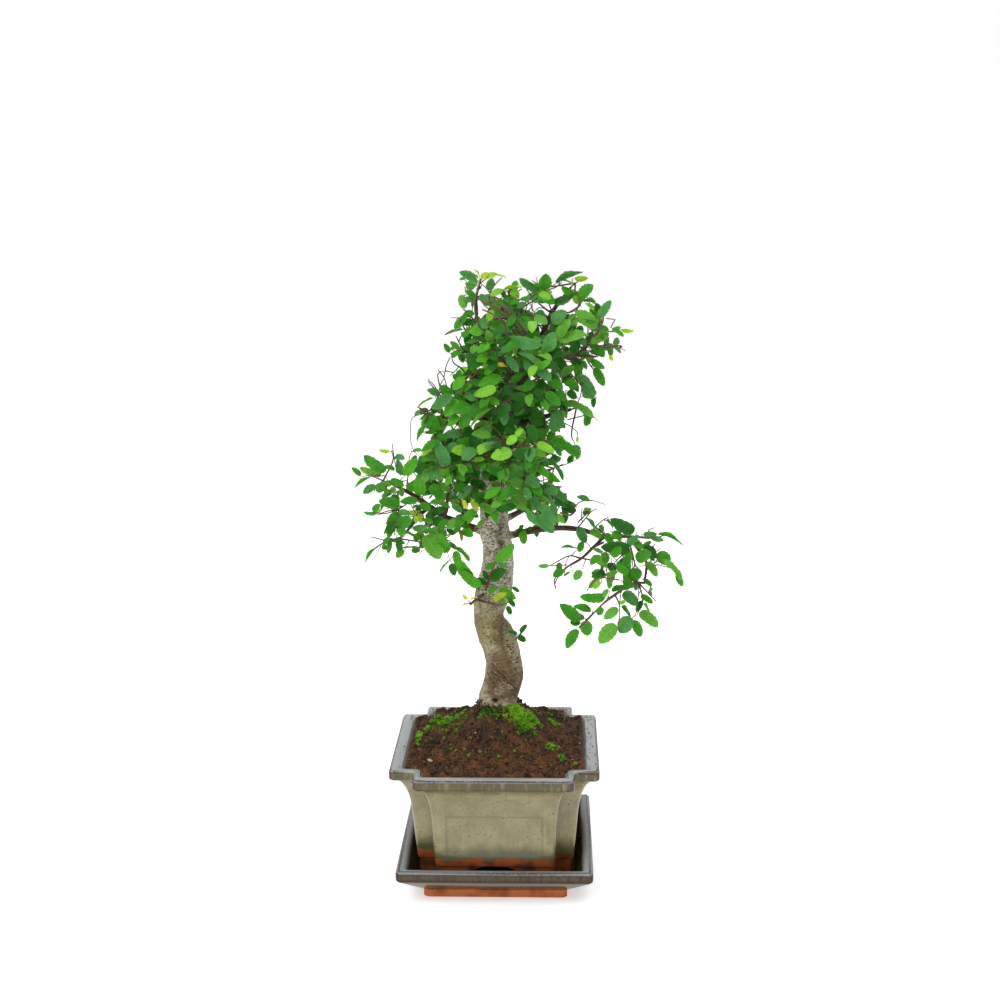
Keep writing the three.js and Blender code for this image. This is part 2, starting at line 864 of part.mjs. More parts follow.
// A repeatable draw between 0 and 1 for a numbered choice
function draw(seed, choice) {
  const wave = Math.sin(seed * 12.9898 + choice * 78.233) * 43758.5453;
  return wave - Math.floor(wave);
}

// A thin solid from its outline, anticlockwise from above, and the triangles that fill it.
// Each point of the outline holds a place and half of the thickness there, as a vector.
function slab({ outline, faces }) {
  const count = outline.length;
  const top = outline.map(({ at, half }) => at.clone().add(half));
  const bottom = outline.map(({ at, half }) => at.clone().sub(half));
  const index = faces.flatMap(([a, b, c]) => [a, b, c, count + a, count + c, count + b]);
  for (let i = 0; i < count; i++) {
    const next = (i + 1) % count;
    index.push(i, count + i, count + next, i, count + next, next);
  }
  const geometry = new THREE.BufferGeometry().setFromPoints([...top, ...bottom]);
  geometry.setIndex(index);
  return solid(geometry);
}

// The smooth line of a twig, with the directions along it, across it and out of its upper face
function twigLine(route) {
  const line = new THREE.CatmullRomCurve3(route.map(([x, y, z]) => new THREE.Vector3(x, y, z)));
  return (share) => {
    const middle = line.getPoint(share);
    const along = line.getTangent(share);
    const outward = new THREE.Vector3(middle.x - TRUNK_X, middle.y - TRUNK_Y, 0).normalize();
    const facing = new THREE.Vector3(0, 0, FACE_UP).addScaledVector(outward, FACE_OUT);
    const across = new THREE.Vector3().crossVectors(along, facing).normalize();
    const out = new THREE.Vector3().crossVectors(across, along);
    return { middle, along, across, out, facing };
  };
}

// A point on the right (side 1) or left (side -1) edge of a twig
function twigEdge(twig, share, side) {
  const { middle, across, out } = twig(share);
  const left = 1 + (TWIG_TIP_SHARE - 1) * share;
  return {
    at: middle.addScaledVector(across, side * TWIG_HALF_WIDTH * left),
    half: out.multiplyScalar(TWIG_HALF_THICKNESS * left),
  };
}

// The leaves of a shoot: one at its tip (side 0) and the others in turn on either side of its twig
function leavesOf(twig, count, size, seed) {
  return Array.from({ length: count }, (_, i) => {
    const share = 1 - (i / count) * (1 - FIRST_LEAF);
    const { middle, along: twigAlong, across, facing } = twig(share);
    const side = i === 0 ? 0 : i % 2 ? 1 : -1;
    const spread = LEAF_SPREAD * (0.8 + 0.4 * draw(seed, 4 * i));
    const along = twigAlong
      .clone()
      .multiplyScalar(side ? Math.cos(spread) : 1)
      .addScaledVector(across, side * Math.sin(spread))
      .addScaledVector(UP, -LEAF_DROOP * draw(seed, 4 * i + 1))
      .normalize();
    const roll = LEAF_ROLL * (2 * draw(seed, 4 * i + 2) - 1);
    const normal = facing.addScaledVector(along, -facing.dot(along)).normalize().applyAxisAngle(along, roll);
    const length = size * (1 - LEAF_SIZE_VARIES / 2 + LEAF_SIZE_VARIES * draw(seed, 4 * i + 3));
    return { share, side, base: middle, along, normal, length };
  });
}

// A leaf's blade between two points of its twig's edge: folded up from the midrib, bowed down to the tip
function blade({ base, along, normal, length }, first, last) {
  const across = new THREE.Vector3().crossVectors(normal, along);
  const edge = length < LARGE_LEAF ? SMALL_LEAF_SIDE : LARGE_LEAF_SIDE;
  const flat = [...edge.map(([x, y]) => [x, -y]), [1, 0], ...edge.toReversed()];
  const points = flat.map(([x, y]) => {
    const lift = LEAF_FOLD * Math.abs(y) - LEAF_BOW * x * x;
    const at = base
      .clone()
      .addScaledVector(along, x * length)
      .addScaledVector(across, y * length)
      .addScaledVector(normal, lift * length);
    return { at, half: normal.clone().multiplyScalar(LEAF_HALF_THICKNESS) };
  });
  const root = LEAF_ROOT_HALF / length;
  const plan = [[0, -root], ...flat, [0, root]].map(([x, y]) => new THREE.Vector2(x, y));
  const tip = edge.length + 1;
  const every = [...plan.keys()];
  const fill = (corners) =>
    THREE.ShapeUtils.triangulateShape(corners.map((i) => plan[i]), []).map((face) => face.map((i) => corners[i]));
  const faces = [...fill(every.slice(0, tip + 1)), ...fill([0, ...every.slice(tip)])];
  return { outline: [first, ...points, last], faces };
}

// The two points of a twig's edge that a leaf grows between, in anticlockwise order
function leafRoot(twig, { share, side }, twigLength) {
  if (side === 0) return [twigEdge(twig, 1, 1), twigEdge(twig, 1, -1)];
  const reach = LEAF_ROOT_HALF / twigLength;
  return [twigEdge(twig, share - side * reach, side), twigEdge(twig, share + side * reach, side)];
}

// A shoot in one outline: up the right edge of its twig and round each leaf there,
// round the leaf at the tip, and down the left edge. Its twig bends at each leaf and at each of bends.
function shootOutline(twig, twigLength, leaves, bends) {
  const outline = [];
  const faces = [];
  const chains = { right: [], left: [] };
  const put = (chain, share, point) => chain.push({ share, index: outline.push(point) - 1 });
  const putLeaf = (leaf, chainIn, chainOut) => {
    const [first, last] = leafRoot(twig, leaf, twigLength);
    const piece = blade(leaf, first, last);
    const start = outline.length;
    outline.push(...piece.outline);
    faces.push(...piece.faces.map((face) => face.map((i) => start + i)));
    const reach = leaf.side ? (leaf.side * LEAF_ROOT_HALF) / twigLength : 0;
    chainIn.push({ share: leaf.share - reach, index: start });
    chainOut.push({ share: leaf.share + reach, index: outline.length - 1 });
  };
  const putSide = (side, chain) => {
    const own = leaves.filter((leaf) => leaf.side === side);
    const room = (2 * LEAF_ROOT_HALF) / twigLength;
    const free = bends.filter((share) => own.every((leaf) => Math.abs(leaf.share - share) > room));
    const stops = [...own, ...free.map((share) => ({ share }))].sort((a, b) => side * (a.share - b.share));
    for (const stop of stops) {
      if (stop.along) {
        putLeaf(stop, chain, chain);
      } else {
        put(chain, stop.share, twigEdge(twig, stop.share, side));
      }
    }
  };
  put(chains.right, 0, twigEdge(twig, 0, 1));
  putSide(1, chains.right);
  const tipLeaf = leaves.find((leaf) => leaf.side === 0);
  if (tipLeaf) {
    putLeaf(tipLeaf, chains.right, chains.left);
  } else {
    put(chains.right, 1, twigEdge(twig, 1, 1));
    put(chains.left, 1, twigEdge(twig, 1, -1));
  }
  putSide(-1, chains.left);
  put(chains.left, 0, twigEdge(twig, 0, -1));
  return { outline, faces: [...faces, ...between(chains.right, chains.left.reverse())] };
}

// Triangles between the two edges of a twig, each given from root to tip
function between(right, left) {
  const faces = [];
  let [i, j] = [0, 0];
  while (i + 1 < right.length || j + 1 < left.length) {
    const upRight = right[i + 1]?.share ?? Infinity;
    const upLeft = left[j + 1]?.share ?? Infinity;
    if (upRight <= upLeft) {
      faces.push([right[i].index, right[i + 1].index, left[j].index]);
      i++;
    } else {
      faces.push([right[i].index, left[j + 1].index, left[j].index]);
      j++;
    }
  }
  return faces;
}

// True where two solids share any space
function cross(a, b) {
  const [p, q] = [a.boundingBox(), b.boundingBox()];
  const apart = p.min.some((low, k) => low > q.max[k] || q.min[k] > p.max[k]);
  return !apart && !a.intersect(b).isEmpty();
}

// Length of a route of points
function routeLength(route) {
  const points = route.map(([x, y, z]) => new THREE.Vector3(x, y, z));
  return points.slice(1).reduce((sum, point, i) => sum + point.distanceTo(points[i]), 0);
}

// Leafy sprays: each is one piece of its twigs and blades, kept clear of the wood and of each other.
// A leaf is left out where its blade, with a little room over it, would cross another leaf, twig or bough.
function buildSprays(treeWood) {
  const sprays = Object.entries(SPRAYS).map(([name, { leaf, shoots }], s) => {
    const first = twigLine(shoots[0].slice(1));
    const forks = shoots.slice(1).map(([, share]) => share);
    const stems = shoots.map(([count, ...way], k) => {
      const route = k === 0 ? way : [first(way[0]).middle.toArray(), ...way.slice(1)];
      const twig = twigLine(route);
      const long = routeLength(route);
      const leaves = leavesOf(twig, count, leaf, 10 * s + k);
      const bends = k === 0 ? forks : [];
      const bare = slab(shootOutline(twig, long, [], [...bends, ...leaves.slice(1).map(({ share }) => share)]));
      return { twig, long, leaves, bends, bare };
    });
    return { name, stems };
  });
  const taken = sprays.map(({ stems }) => stems.map(({ bare }) => bare));
  const clearWood = wood(GAP);
  return sprays.map(({ name, stems }, s) => {
    const parts = stems.map(({ twig, long, leaves, bends }) => {
      const kept = leaves.filter((made) => {
        const shape = slab(blade(made, ...leafRoot(twig, made, long)));
        const room = shape.add(shape.translate(made.normal.clone().multiplyScalar(LEAF_CLEAR).toArray()));
        const blocked = taken.some((others, o) =>
          others.slice(o === s ? stems.length : 0).some((other) => cross(o === s ? shape : room, other)),
        );
        if (blocked || cross(shape, treeWood)) return false;
        taken[s].push(shape);
        return true;
      });
      return slab(shootOutline(twig, long, kept, bends));
    });
    return [name, largestBody(wasm.Manifold.union(parts).subtract(clearWood))];
  });
}

const GLAZE = new THREE.MeshStandardMaterial({ color: 0x8f8f78, roughness: 0.25, metalness: 0 });
const DARK_GLAZE = new THREE.MeshStandardMaterial({ color: 0x74706a, roughness: 0.25, metalness: 0 });
const PEAT = new THREE.MeshStandardMaterial({ color: 0x3b241a, roughness: 0.95, metalness: 0 });
const BARK = new THREE.MeshStandardMaterial({ color: 0x9a8d78, roughness: 0.85, metalness: 0 });
const LEAF = new THREE.MeshStandardMaterial({ color: 0x2f7d2c, roughness: 0.5, metalness: 0 });

const bonsai = new THREE.Group();
const treeWood = largestBody(wood(0));
bonsai.add(mesh("saucer", buildSaucer(), DARK_GLAZE));
bonsai.add(mesh("pot", buildPot(), GLAZE));
bonsai.add(mesh("soil", buildSoil(), PEAT));
bonsai.add(mesh("trunk", treeWood, BARK));
for (const [name, shape] of buildSprays(treeWood)) {
  bonsai.add(mesh("spray_" + name, shape, LEAF));
}

export default bonsai;
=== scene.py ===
"""A small-leaved zelkova bonsai in a celadon-glazed square pot that stands on its saucer.

Lengths in the tables are millimetres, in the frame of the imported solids: X to the right, Y away
from the front of the pot, Z up, with the origin under the middle of the saucer. Meshes are metres.
"""

from __future__ import annotations

import logging
import math
import random
from collections.abc import Callable
from dataclasses import dataclass, field
from enum import Enum

import bmesh
import bpy
import numpy as np
from mathutils import Matrix, Vector, noise


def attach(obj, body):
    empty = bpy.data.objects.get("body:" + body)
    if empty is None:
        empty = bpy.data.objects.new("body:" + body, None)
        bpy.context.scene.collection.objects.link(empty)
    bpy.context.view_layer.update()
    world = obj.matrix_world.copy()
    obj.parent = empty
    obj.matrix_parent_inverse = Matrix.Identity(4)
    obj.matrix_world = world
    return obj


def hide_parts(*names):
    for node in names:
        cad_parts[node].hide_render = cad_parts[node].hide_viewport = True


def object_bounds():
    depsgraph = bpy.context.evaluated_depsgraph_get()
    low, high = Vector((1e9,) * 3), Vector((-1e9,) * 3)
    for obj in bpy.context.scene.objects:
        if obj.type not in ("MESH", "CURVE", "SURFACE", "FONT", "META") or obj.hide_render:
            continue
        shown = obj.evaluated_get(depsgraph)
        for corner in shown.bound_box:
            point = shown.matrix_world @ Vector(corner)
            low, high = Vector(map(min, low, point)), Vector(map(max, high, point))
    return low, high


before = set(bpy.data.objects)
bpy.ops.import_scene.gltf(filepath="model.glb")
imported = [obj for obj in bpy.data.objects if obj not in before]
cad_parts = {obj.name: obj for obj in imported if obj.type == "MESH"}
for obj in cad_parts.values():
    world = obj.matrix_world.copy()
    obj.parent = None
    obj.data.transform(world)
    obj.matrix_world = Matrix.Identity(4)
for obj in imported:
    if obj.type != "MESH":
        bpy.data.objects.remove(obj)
cad_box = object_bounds()

log = logging.getLogger("bonsai")
MM = 0.001
UP = np.array((0.0, 0.0, 1.0))
TRUNK_X, TRUNK_Y = 2.0, 12.0


# Routes of the wood and of the leafy shoots


@dataclass(frozen=True)
class Shoot:
    """One leafy shoot.

    Args:
        leaves: how many leaves it carries; below zero for a shoot that only the scene has.
        way: the points that its twig passes.
        fork: the share of the spray's first shoot at which it starts, or None for its own start.
    """

    leaves: int
    way: list[tuple[int, int, int]]
    fork: float | None = None


@dataclass(frozen=True)
class SprayPlan:
    """The shoots that make one spray, with their leaves' usual length and how many twiglets fill each."""

    name: str
    leaf: float
    fill: int
    shoots: list[Shoot]


TRUNK: list[tuple[float, float, float, float]] = [
    (2, 12, 84, 10), (2, 12, 104, 13.5), (1.6, 12, 118, 16.4), (1, 12, 124, 15), (0.8, 12, 129, 13.6),
    (2.4, 12, 136, 13.4), (4.4, 12, 144, 14.2), (5.2, 12, 151, 14.3), (4.8, 12, 160, 13.8),
    (3, 12, 170, 13.7), (-0.6, 12, 180, 13.6), (-4, 12, 187, 11.4), (-5.5, 12, 195, 10.7),
    (-4.6, 12, 204, 11.6), (-1.2, 12, 215, 12.8), (0.7, 12, 223, 12.2), (1.7, 12, 233, 11.5),
    (1.4, 12, 246, 11), (-0.6, 12, 257, 11.4), (-0.8, 12, 266, 10.4), (-0.5, 12, 277, 10.1),
    (-2, 12, 297, 9.2), (1.7, 12, 311, 8.3), (12, 12, 332, 6.8), (17.8, 12, 351, 5.7),
    (19, 12, 366, 5.2), (26, 14, 383, 4.3), (31, 14, 392, 3.9), (33, 14, 400, 3.3),
]

BOUGHS: list[list[tuple[float, float, float, float]]] = [
    [(-8, 12, 258, 3.6), (-18, 8, 262, 3.2), (-27, 3, 267, 2.9), (-36, -2, 272, 2.5), (-47, -5, 280, 2.2),
     (-57, -8, 289, 1.9), (-67, -9, 295, 1.6), (-76, -10, 300, 1.3)],
    [(-36, -2, 272, 1.9), (-34, -6, 279, 1.7), (-33, -9, 287, 1.5), (-31, -12, 297, 1.3),
     (-31, -14, 306, 1.1)],
    [(-47, -5, 280, 1.7), (-53, -10, 275, 1.5), (-59, -14, 268, 1.3), (-65, -17, 261, 1.1)],
    [(6, 12, 253, 3.4), (16, 8, 257, 3), (30, 3, 261, 2.7), (46, -3, 264, 2.4), (59, -6, 264, 2.2),
     (69, -8, 262, 2), (80, -10, 259, 1.8), (95, -12, 260, 1.4), (111, -13, 259, 1.1)],
    [(95, -12, 260, 1.5), (102, -15, 252, 1.4), (108, -17, 243, 1.3), (107, -19, 228, 1.1)],
    [(78, -10, 259, 1.6), (71, -14, 253, 1.4), (62, -17, 245, 1.2), (53, -19, 240, 1)],
    [(-4, 12, 317, 3.2), (-12, 5, 325, 2.8), (-22, -3, 337, 2.3), (-30, -9, 351, 1.8),
     (-35, -12, 363, 1.3)],
    [(-4, 12, 321, 3), (-2, 30, 329, 2.5), (0, 47, 338, 2), (2, 60, 345, 1.5)],
    [(-2, 12, 297, 3), (3, -6, 309, 2.6), (10, -24, 319, 2.1), (17, -40, 327, 1.6)],
    [(13, 12, 334, 2.9), (26, 7, 340, 2.5), (40, 2, 345, 2), (55, -3, 350, 1.5)],
    [(-3, 12, 322, 4.4), (-6, 10, 338, 4), (-9, 5, 356, 3.4), (-13, 0, 372, 2.8), (-17, -4, 388, 2.3),
     (-16, -6, 402, 1.8), (-11, -7, 416, 1.4), (-11, -8, 429, 1.1)],
    [(18, 12, 363, 2.8), (20, 30, 373, 2.3), (20, 46, 384, 1.9), (17, 58, 393, 1.4)],
    [(18, 12, 358, 2.6), (15, -6, 370, 2.2), (11, -24, 381, 1.8), (6, -38, 390, 1.3)],
    [(29, 14, 387, 3), (22, 12, 401, 2.8), (14, 8, 410, 2.5), (9, 5, 417, 2.2), (1, 2, 423, 1.9),
     (-7, 0, 426, 1.5)],
    [(26, 14, 383, 2.8), (39, 11, 385, 2.4), (51, 8, 386, 2.1), (60, 5, 388, 1.8), (68, 2, 397, 1.5),
     (75, 0, 406, 1.1)],
    [(32, 14, 393, 3), (36, 13, 404, 2.4), (41, 11, 416, 2), (48, 9, 426, 1.5), (55, 8, 435, 1.1)],
    [(-8, 12, 277, 3), (-16, 29, 279, 2.5), (-26, 45, 282, 2), (-34, 58, 285, 1.5)],
    [(4, 12, 287, 3), (16, 27, 290, 2.5), (29, 41, 293, 2), (40, 53, 295, 1.5)],
    [(1, 12, 281, 2.8), (8, -8, 292, 2.3), (13, -22, 299, 1.8), (19, -34, 305, 1.4)],
    [(6, 12, 266, 3), (17, 34, 267, 2.4), (26, 54, 267, 1.9), (32, 70, 268, 1.4)],
]

SPRAYS: list[SprayPlan] = [
    SprayPlan("left_tip", 15, 1, [
        Shoot(4, [(-75, -10, 299), (-79, -12, 301), (-83, -13, 303), (-87, -15, 305)]),
        Shoot(4, [(-70, -18, 318), (-71, -20, 324)], 0.27),
        Shoot(-2, [(-76, -10, 300), (-82, -17, 297), (-87, -22, 296)]),
    ]),
    SprayPlan("left_front", 15, 2, [
        Shoot(3, [(-57, -8, 289), (-63, -18, 284), (-72, -26, 281), (-80, -32, 281)]),
        Shoot(3, [(-64, -30, 276), (-70, -36, 272)], 0.5),
    ]),
    SprayPlan("left_drop", 15, 1, [
        Shoot(4, [(-65, -17, 261), (-74, -20, 259), (-80, -23, 257), (-88, -26, 252)]),
        Shoot(2, [(-67, -20, 255), (-67, -22, 250)], 0.13),
        Shoot(2, [(-46, -28, 259)], 0.13),
    ]),
    SprayPlan("left_rise", 15, 2, [
        Shoot(3, [(-31, -12, 297), (-34, -16, 309), (-40, -20, 319), (-44, -22, 325)]),
        Shoot(3, [(-26, -20, 316), (-20, -26, 324)], 0.37),
    ]),
    SprayPlan("left_top", 14.5, 1, [
        Shoot(3, [(-54, -7, 287), (-54, -12, 300), (-51, -16, 309), (-48, -18, 315)]),
        Shoot(-2, [(-62, -8, 292), (-62, 0, 300), (-61, 6, 305)]),
    ]),
    SprayPlan("left_inner", 13.5, 2, [
        Shoot(3, [(-27, 3, 267), (-30, -8, 262), (-35, -16, 258), (-38, -22, 254)]),
        Shoot(-2, [(-23, 4, 265), (-23, -10, 276), (-18, -22, 286)]),
    ]),
    SprayPlan("left_back", 15.5, 2, [
        Shoot(3, [(-47, -5, 280), (-52, 14, 281), (-58, 30, 283), (-63, 42, 285)]),
        Shoot(3, [(-41, 18, 271), (-45, 34, 270), (-50, 46, 270)], 0.3),
    ]),
    SprayPlan("right_top", 14.5, 2, [
        Shoot(3, [(59, -6, 264), (64, -9, 271), (69, -12, 278), (73, -15, 281)]),
        Shoot(-2, [(46, -3, 264), (43, -10, 274), (42, -16, 283), (44, -20, 289)]),
    ]),
    SprayPlan("right_end", 13.5, 1, [
        Shoot(3, [(111, -13, 259), (116, -15, 260), (120, -17, 262), (125, -18, 262)]),
        Shoot(2, [(109, -20, 266), (113, -26, 270)], 0.23),
        Shoot(-2, [(88, -11, 259), (91, -22, 267), (94, -30, 271)]),
    ]),
    SprayPlan("right_far", 17, 1, [
        Shoot(3, [(108, -18, 237), (112, -20, 240), (116, -22, 242), (120, -23, 241)]),
        Shoot(2, [(113, -10, 246), (119, -4, 249)], 0.23),
    ]),
    SprayPlan("right_hang", 17.5, 0, [
        Shoot(4, [
            (107, -19, 228), (97, -22, 227), (87, -25, 221), (77, -27, 214), (67, -29, 205), (60, -30, 198),
        ]),
        Shoot(3, [(89, -27, 214), (89, -29, 208)], 0.42),
        Shoot(3, [(106, -16, 213), (102, -18, 204)], 0.08),
        Shoot(2, [(116, -9, 211)], 0.08),
    ]),
    SprayPlan("right_inner", 13.5, 2, [
        Shoot(-2, [(53, -19, 240), (48, -21, 236), (44, -22, 230), (43, -23, 226)]),
        Shoot(3, [(62, -17, 245), (54, -24, 249), (46, -30, 247), (39, -34, 244)]),
        Shoot(3, [(78, -30, 244), (80, -34, 238)], 0.13),
    ]),
    SprayPlan("right_mid", 15, 2, [
        Shoot(3, [(98, -13, 257), (93, -24, 252), (87, -34, 249), (83, -40, 246)]),
        Shoot(2, [(100, -8, 236), (93, 0, 231)], 0.1),
    ]),
    SprayPlan("right_back", 15.5, 2, [
        Shoot(3, [(69, -8, 262), (73, 10, 262), (79, 26, 263), (83, 38, 262)]),
        Shoot(3, [(86, 8, 251), (93, 24, 244), (97, 36, 240)], 0.3),
    ]),
    SprayPlan("shoot_low", 10.5, 0, [
        Shoot(2, [(-10, 8, 208), (-15, -3, 209), (-21, -7, 208)]),
        Shoot(3, [(-1, -6, 208), (5, -12, 209), (12, -14, 213)], 0.25),
    ]),
    SprayPlan("shoot_mid", 12.5, 1, [
        Shoot(4, [(-6, 5, 217), (-4, -3, 225), (-2, -6, 233), (1, -9, 240)]),
    ]),
    SprayPlan("shoot_strap", 13.5, 0, [
        Shoot(3, [(-11, 8, 214), (-17, -1, 222), (-23, -4, 229), (-27, -6, 238), (-30, -7, 246)]),
    ]),
    SprayPlan("shoot_right", 9, 0, [
        Shoot(2, [(14, 10, 176), (18, 6, 181), (20, 3, 185)]),
    ]),
    SprayPlan("apex_left", 12, 1, [
        Shoot(3, [(-11, -8, 428), (-10, -9, 432), (-9, -10, 436), (-8, -10, 439)]),
        Shoot(2, [(-18, -2, 432), (-19, 0, 436)], 0.3),
    ]),
    SprayPlan("apex_mid", 13, 2, [
        Shoot(3, [(-3, 1, 425), (-1, -4, 433), (3, -8, 439), (7, -11, 443)]),
        Shoot(3, [(9, -8, 427), (15, -14, 432), (21, -18, 436)], 0.23),
    ]),
    SprayPlan("top_tip", 13.5, 1, [
        Shoot(2, [(55, 8, 435), (57, 7, 437), (60, 5, 439)]),
        Shoot(3, [(37, 0, 436), (33, -3, 439)], 0.6),
        Shoot(2, [(58, 0, 431), (63, -6, 433)], 0.6),
    ]),
    SprayPlan("top_side", 15, 2, [
        Shoot(3, [(41, 11, 416), (33, 6, 423), (28, 2, 428), (24, -2, 434)]),
        Shoot(3, [(55, -8, 419), (61, -14, 424)], 0.1),
    ]),
    SprayPlan("top_right_tip", 14, 1, [
        Shoot(2, [(74, 0, 405), (77, -2, 412), (77, -3, 417)]),
        Shoot(3, [(80, -4, 405), (85, -6, 405)], 0.25),
        Shoot(-2, [(68, 2, 398), (75, -8, 395), (80, -14, 395)]),
    ]),
    SprayPlan("top_right_front", 16, 2, [
        Shoot(3, [(60, 5, 388), (64, -8, 396), (66, -16, 405), (66, -20, 412)]),
        Shoot(2, [(55, -6, 397), (55, -14, 404)], 0.23),
    ]),
    SprayPlan("right_upper", 15, 2, [
        Shoot(3, [(63, 4, 392), (67, 6, 382), (73, 4, 374), (75, 2, 369)]),
        Shoot(3, [(54, -2, 378), (60, -10, 370), (64, -16, 366)], 0.17),
    ]),
    SprayPlan("right_upper_back", 15.5, 2, [
        Shoot(3, [(51, 8, 386), (57, 24, 388), (63, 36, 392), (68, 46, 394)]),
        Shoot(3, [(44, 28, 376), (49, 42, 369), (53, 54, 362)], 0.23),
    ]),
    SprayPlan("mid_right_tip", 15.5, 2, [
        Shoot(2, [(55, -3, 350), (60, -5, 352), (65, -7, 353)]),
        Shoot(3, [(55, -14, 333), (57, -18, 329)], 0.35),
        Shoot(-2, [(40, 2, 345), (44, -10, 356), (51, -18, 362)]),
    ]),
    SprayPlan("mid_right_front", 15.5, 2, [
        Shoot(3, [(36, 3, 344), (36, -8, 338), (36, -16, 331), (38, -22, 325)]),
        Shoot(3, [(24, -8, 336), (22, -18, 331)], 0.3),
    ]),
    SprayPlan("mid_right_back", 15.5, 2, [
        Shoot(3, [(43, 1, 346), (48, 20, 346), (53, 36, 347), (57, 46, 347)]),
        Shoot(3, [(34, 24, 332), (39, 38, 323), (43, 48, 317)], 0.27),
    ]),
    SprayPlan("mid_front_a", 16, 2, [
        Shoot(2, [(17, -40, 327), (21, -48, 334), (26, -54, 340)]),
        Shoot(3, [(2, -48, 339)], 0.2),
        Shoot(-2, [(17, -40, 327), (16, -50, 322), (11, -56, 320)]),
    ]),
    SprayPlan("mid_front_b", 17, 2, [
        Shoot(3, [(10, -24, 319), (17, -36, 316), (22, -44, 312), (26, -48, 309)]),
        Shoot(3, [(-9, -38, 321), (-15, -44, 320)], 0.1),
    ]),
    SprayPlan("low_front_a", 16, 2, [
        Shoot(3, [(19, -34, 305), (25, -40, 300), (29, -42, 294), (33, -42, 286)]),
        Shoot(-2, [(19, -34, 305), (26, -36, 309), (32, -38, 311)]),
    ]),
    SprayPlan("low_front_b", 15.5, 2, [
        Shoot(2, [(16, -28, 302), (11, -38, 297), (6, -44, 293)]),
        Shoot(3, [(1, -20, 292), (-4, -33, 291)], 0.15),
    ]),
    SprayPlan("mid_left_tip", 12.5, 1, [
        Shoot(2, [(-35, -12, 362), (-37, -15, 370), (-38, -17, 377)]),
        Shoot(-2, [(-33, -10, 357), (-39, -18, 366), (-44, -22, 373)]),
        Shoot(3, [(-45, -16, 351), (-51, -18, 354)], 0.2),
    ]),
    SprayPlan("mid_left_low", 15, 2, [
        Shoot(3, [(-27, -7, 345), (-34, -16, 342), (-42, -22, 339), (-48, -26, 338)]),
        Shoot(3, [(-26, -14, 330), (-33, -22, 325), (-36, -28, 322)], 0.17),
    ]),
    SprayPlan("mid_left_front", 15.5, 2, [
        Shoot(3, [(-24, -5, 341), (-21, -20, 352), (-19, -30, 361)]),
        Shoot(3, [(-14, -26, 324)], 0.1),
    ]),
    SprayPlan("mid_left_back", 15.5, 2, [
        Shoot(3, [(-19, -1, 334), (-28, 18, 336), (-35, 32, 336), (-41, 43, 336)]),
        Shoot(3, [(-20, 22, 316), (-27, 36, 307), (-32, 46, 302)], 0.23),
    ]),
    SprayPlan("upper_left_low", 14.5, 2, [
        Shoot(3, [(-9, 5, 356), (-16, -8, 361), (-22, -18, 366), (-25, -24, 373)]),
        Shoot(3, [(-20, -8, 378), (-27, -14, 385), (-28, -18, 392)], 0.47),
    ]),
    SprayPlan("upper_left_tip", 13.5, 2, [
        Shoot(2, [(-17, -4, 388), (-22, -8, 396), (-25, -12, 403)]),
        Shoot(-2, [(-16, -6, 402), (-20, -12, 410), (-22, -16, 415)]),
        Shoot(3, [(-8, -18, 401), (-2, -28, 406)], 0.35),
    ]),
    SprayPlan("upper_left_back", 15, 2, [
        Shoot(3, [(-15, -1, 377), (-17, 20, 378), (-23, 36, 381), (-27, 46, 384)]),
        Shoot(3, [(-17, 12, 408), (-17, 28, 411), (-17, 40, 413)], 0.13),
    ]),
    SprayPlan("upper_front_a", 16, 2, [
        Shoot(2, [(6, -38, 390), (3, -44, 397), (-1, -48, 402)]),
        Shoot(3, [(-4, -44, 376), (-10, -48, 373)], 0.2),
        Shoot(-2, [(6, -38, 390), (12, -46, 398), (17, -50, 404)]),
    ]),
    SprayPlan("upper_front_b", 17, 2, [
        Shoot(3, [(12, -16, 376), (20, -30, 382), (27, -40, 389), (31, -46, 395)]),
        Shoot(3, [(23, -20, 369), (32, -30, 368), (39, -36, 367)], 0.1),
        Shoot(3, [(8, -26, 368), (5, -36, 362), (1, -42, 358)], 0.1),
    ]),
    SprayPlan("top_front", 16, 2, [
        Shoot(3, [(14, 8, 410), (19, -8, 415), (24, -20, 420), (28, -28, 425)]),
        Shoot(3, [(29, -6, 402), (36, -20, 404), (41, -30, 405)], 0.23),
        Shoot(3, [(4, -10, 415), (0, -22, 413), (-3, -30, 409)], 0.23),
    ]),
    SprayPlan("top_back", 15.5, 2, [
        Shoot(3, [(17, 10, 407), (11, 26, 411), (6, 40, 415), (2, 50, 418)]),
        Shoot(3, [(40, 30, 406), (43, 42, 409)], 0.07),
    ]),
    SprayPlan("back_high", 16, 2, [
        Shoot(-2, [(17, 58, 393), (12, 66, 396), (7, 72, 398)]),
        Shoot(3, [(20, 46, 384), (28, 58, 387), (34, 66, 390)]),
        Shoot(3, [(3, 62, 375), (-4, 68, 375)], 0.15),
    ]),
    SprayPlan("back_mid_a", 16, 2, [
        Shoot(2, [(2, 60, 345), (-2, 68, 349), (-7, 73, 352)]),
        Shoot(-2, [(2, 60, 345), (8, 66, 351), (12, 70, 356)]),
        Shoot(3, [(5, 73, 322)], 0.2),
    ]),
    SprayPlan("back_mid_b", 16, 2, [
        Shoot(3, [(0, 47, 338), (8, 60, 338), (16, 68, 340), (22, 74, 341)]),
        Shoot(3, [(-16, 64, 333)], 0.1),
    ]),
    SprayPlan("low_back_l", 15.5, 2, [
        Shoot(-2, [(-34, 58, 285), (-40, 66, 287), (-46, 71, 289)]),
        Shoot(3, [(-26, 45, 282), (-34, 58, 275), (-40, 66, 271)]),
        Shoot(3, [(-18, 62, 290)], 0.15),
    ]),
    SprayPlan("low_back_r", 15.5, 2, [
        Shoot(2, [(40, 53, 295), (46, 60, 296), (50, 65, 297)]),
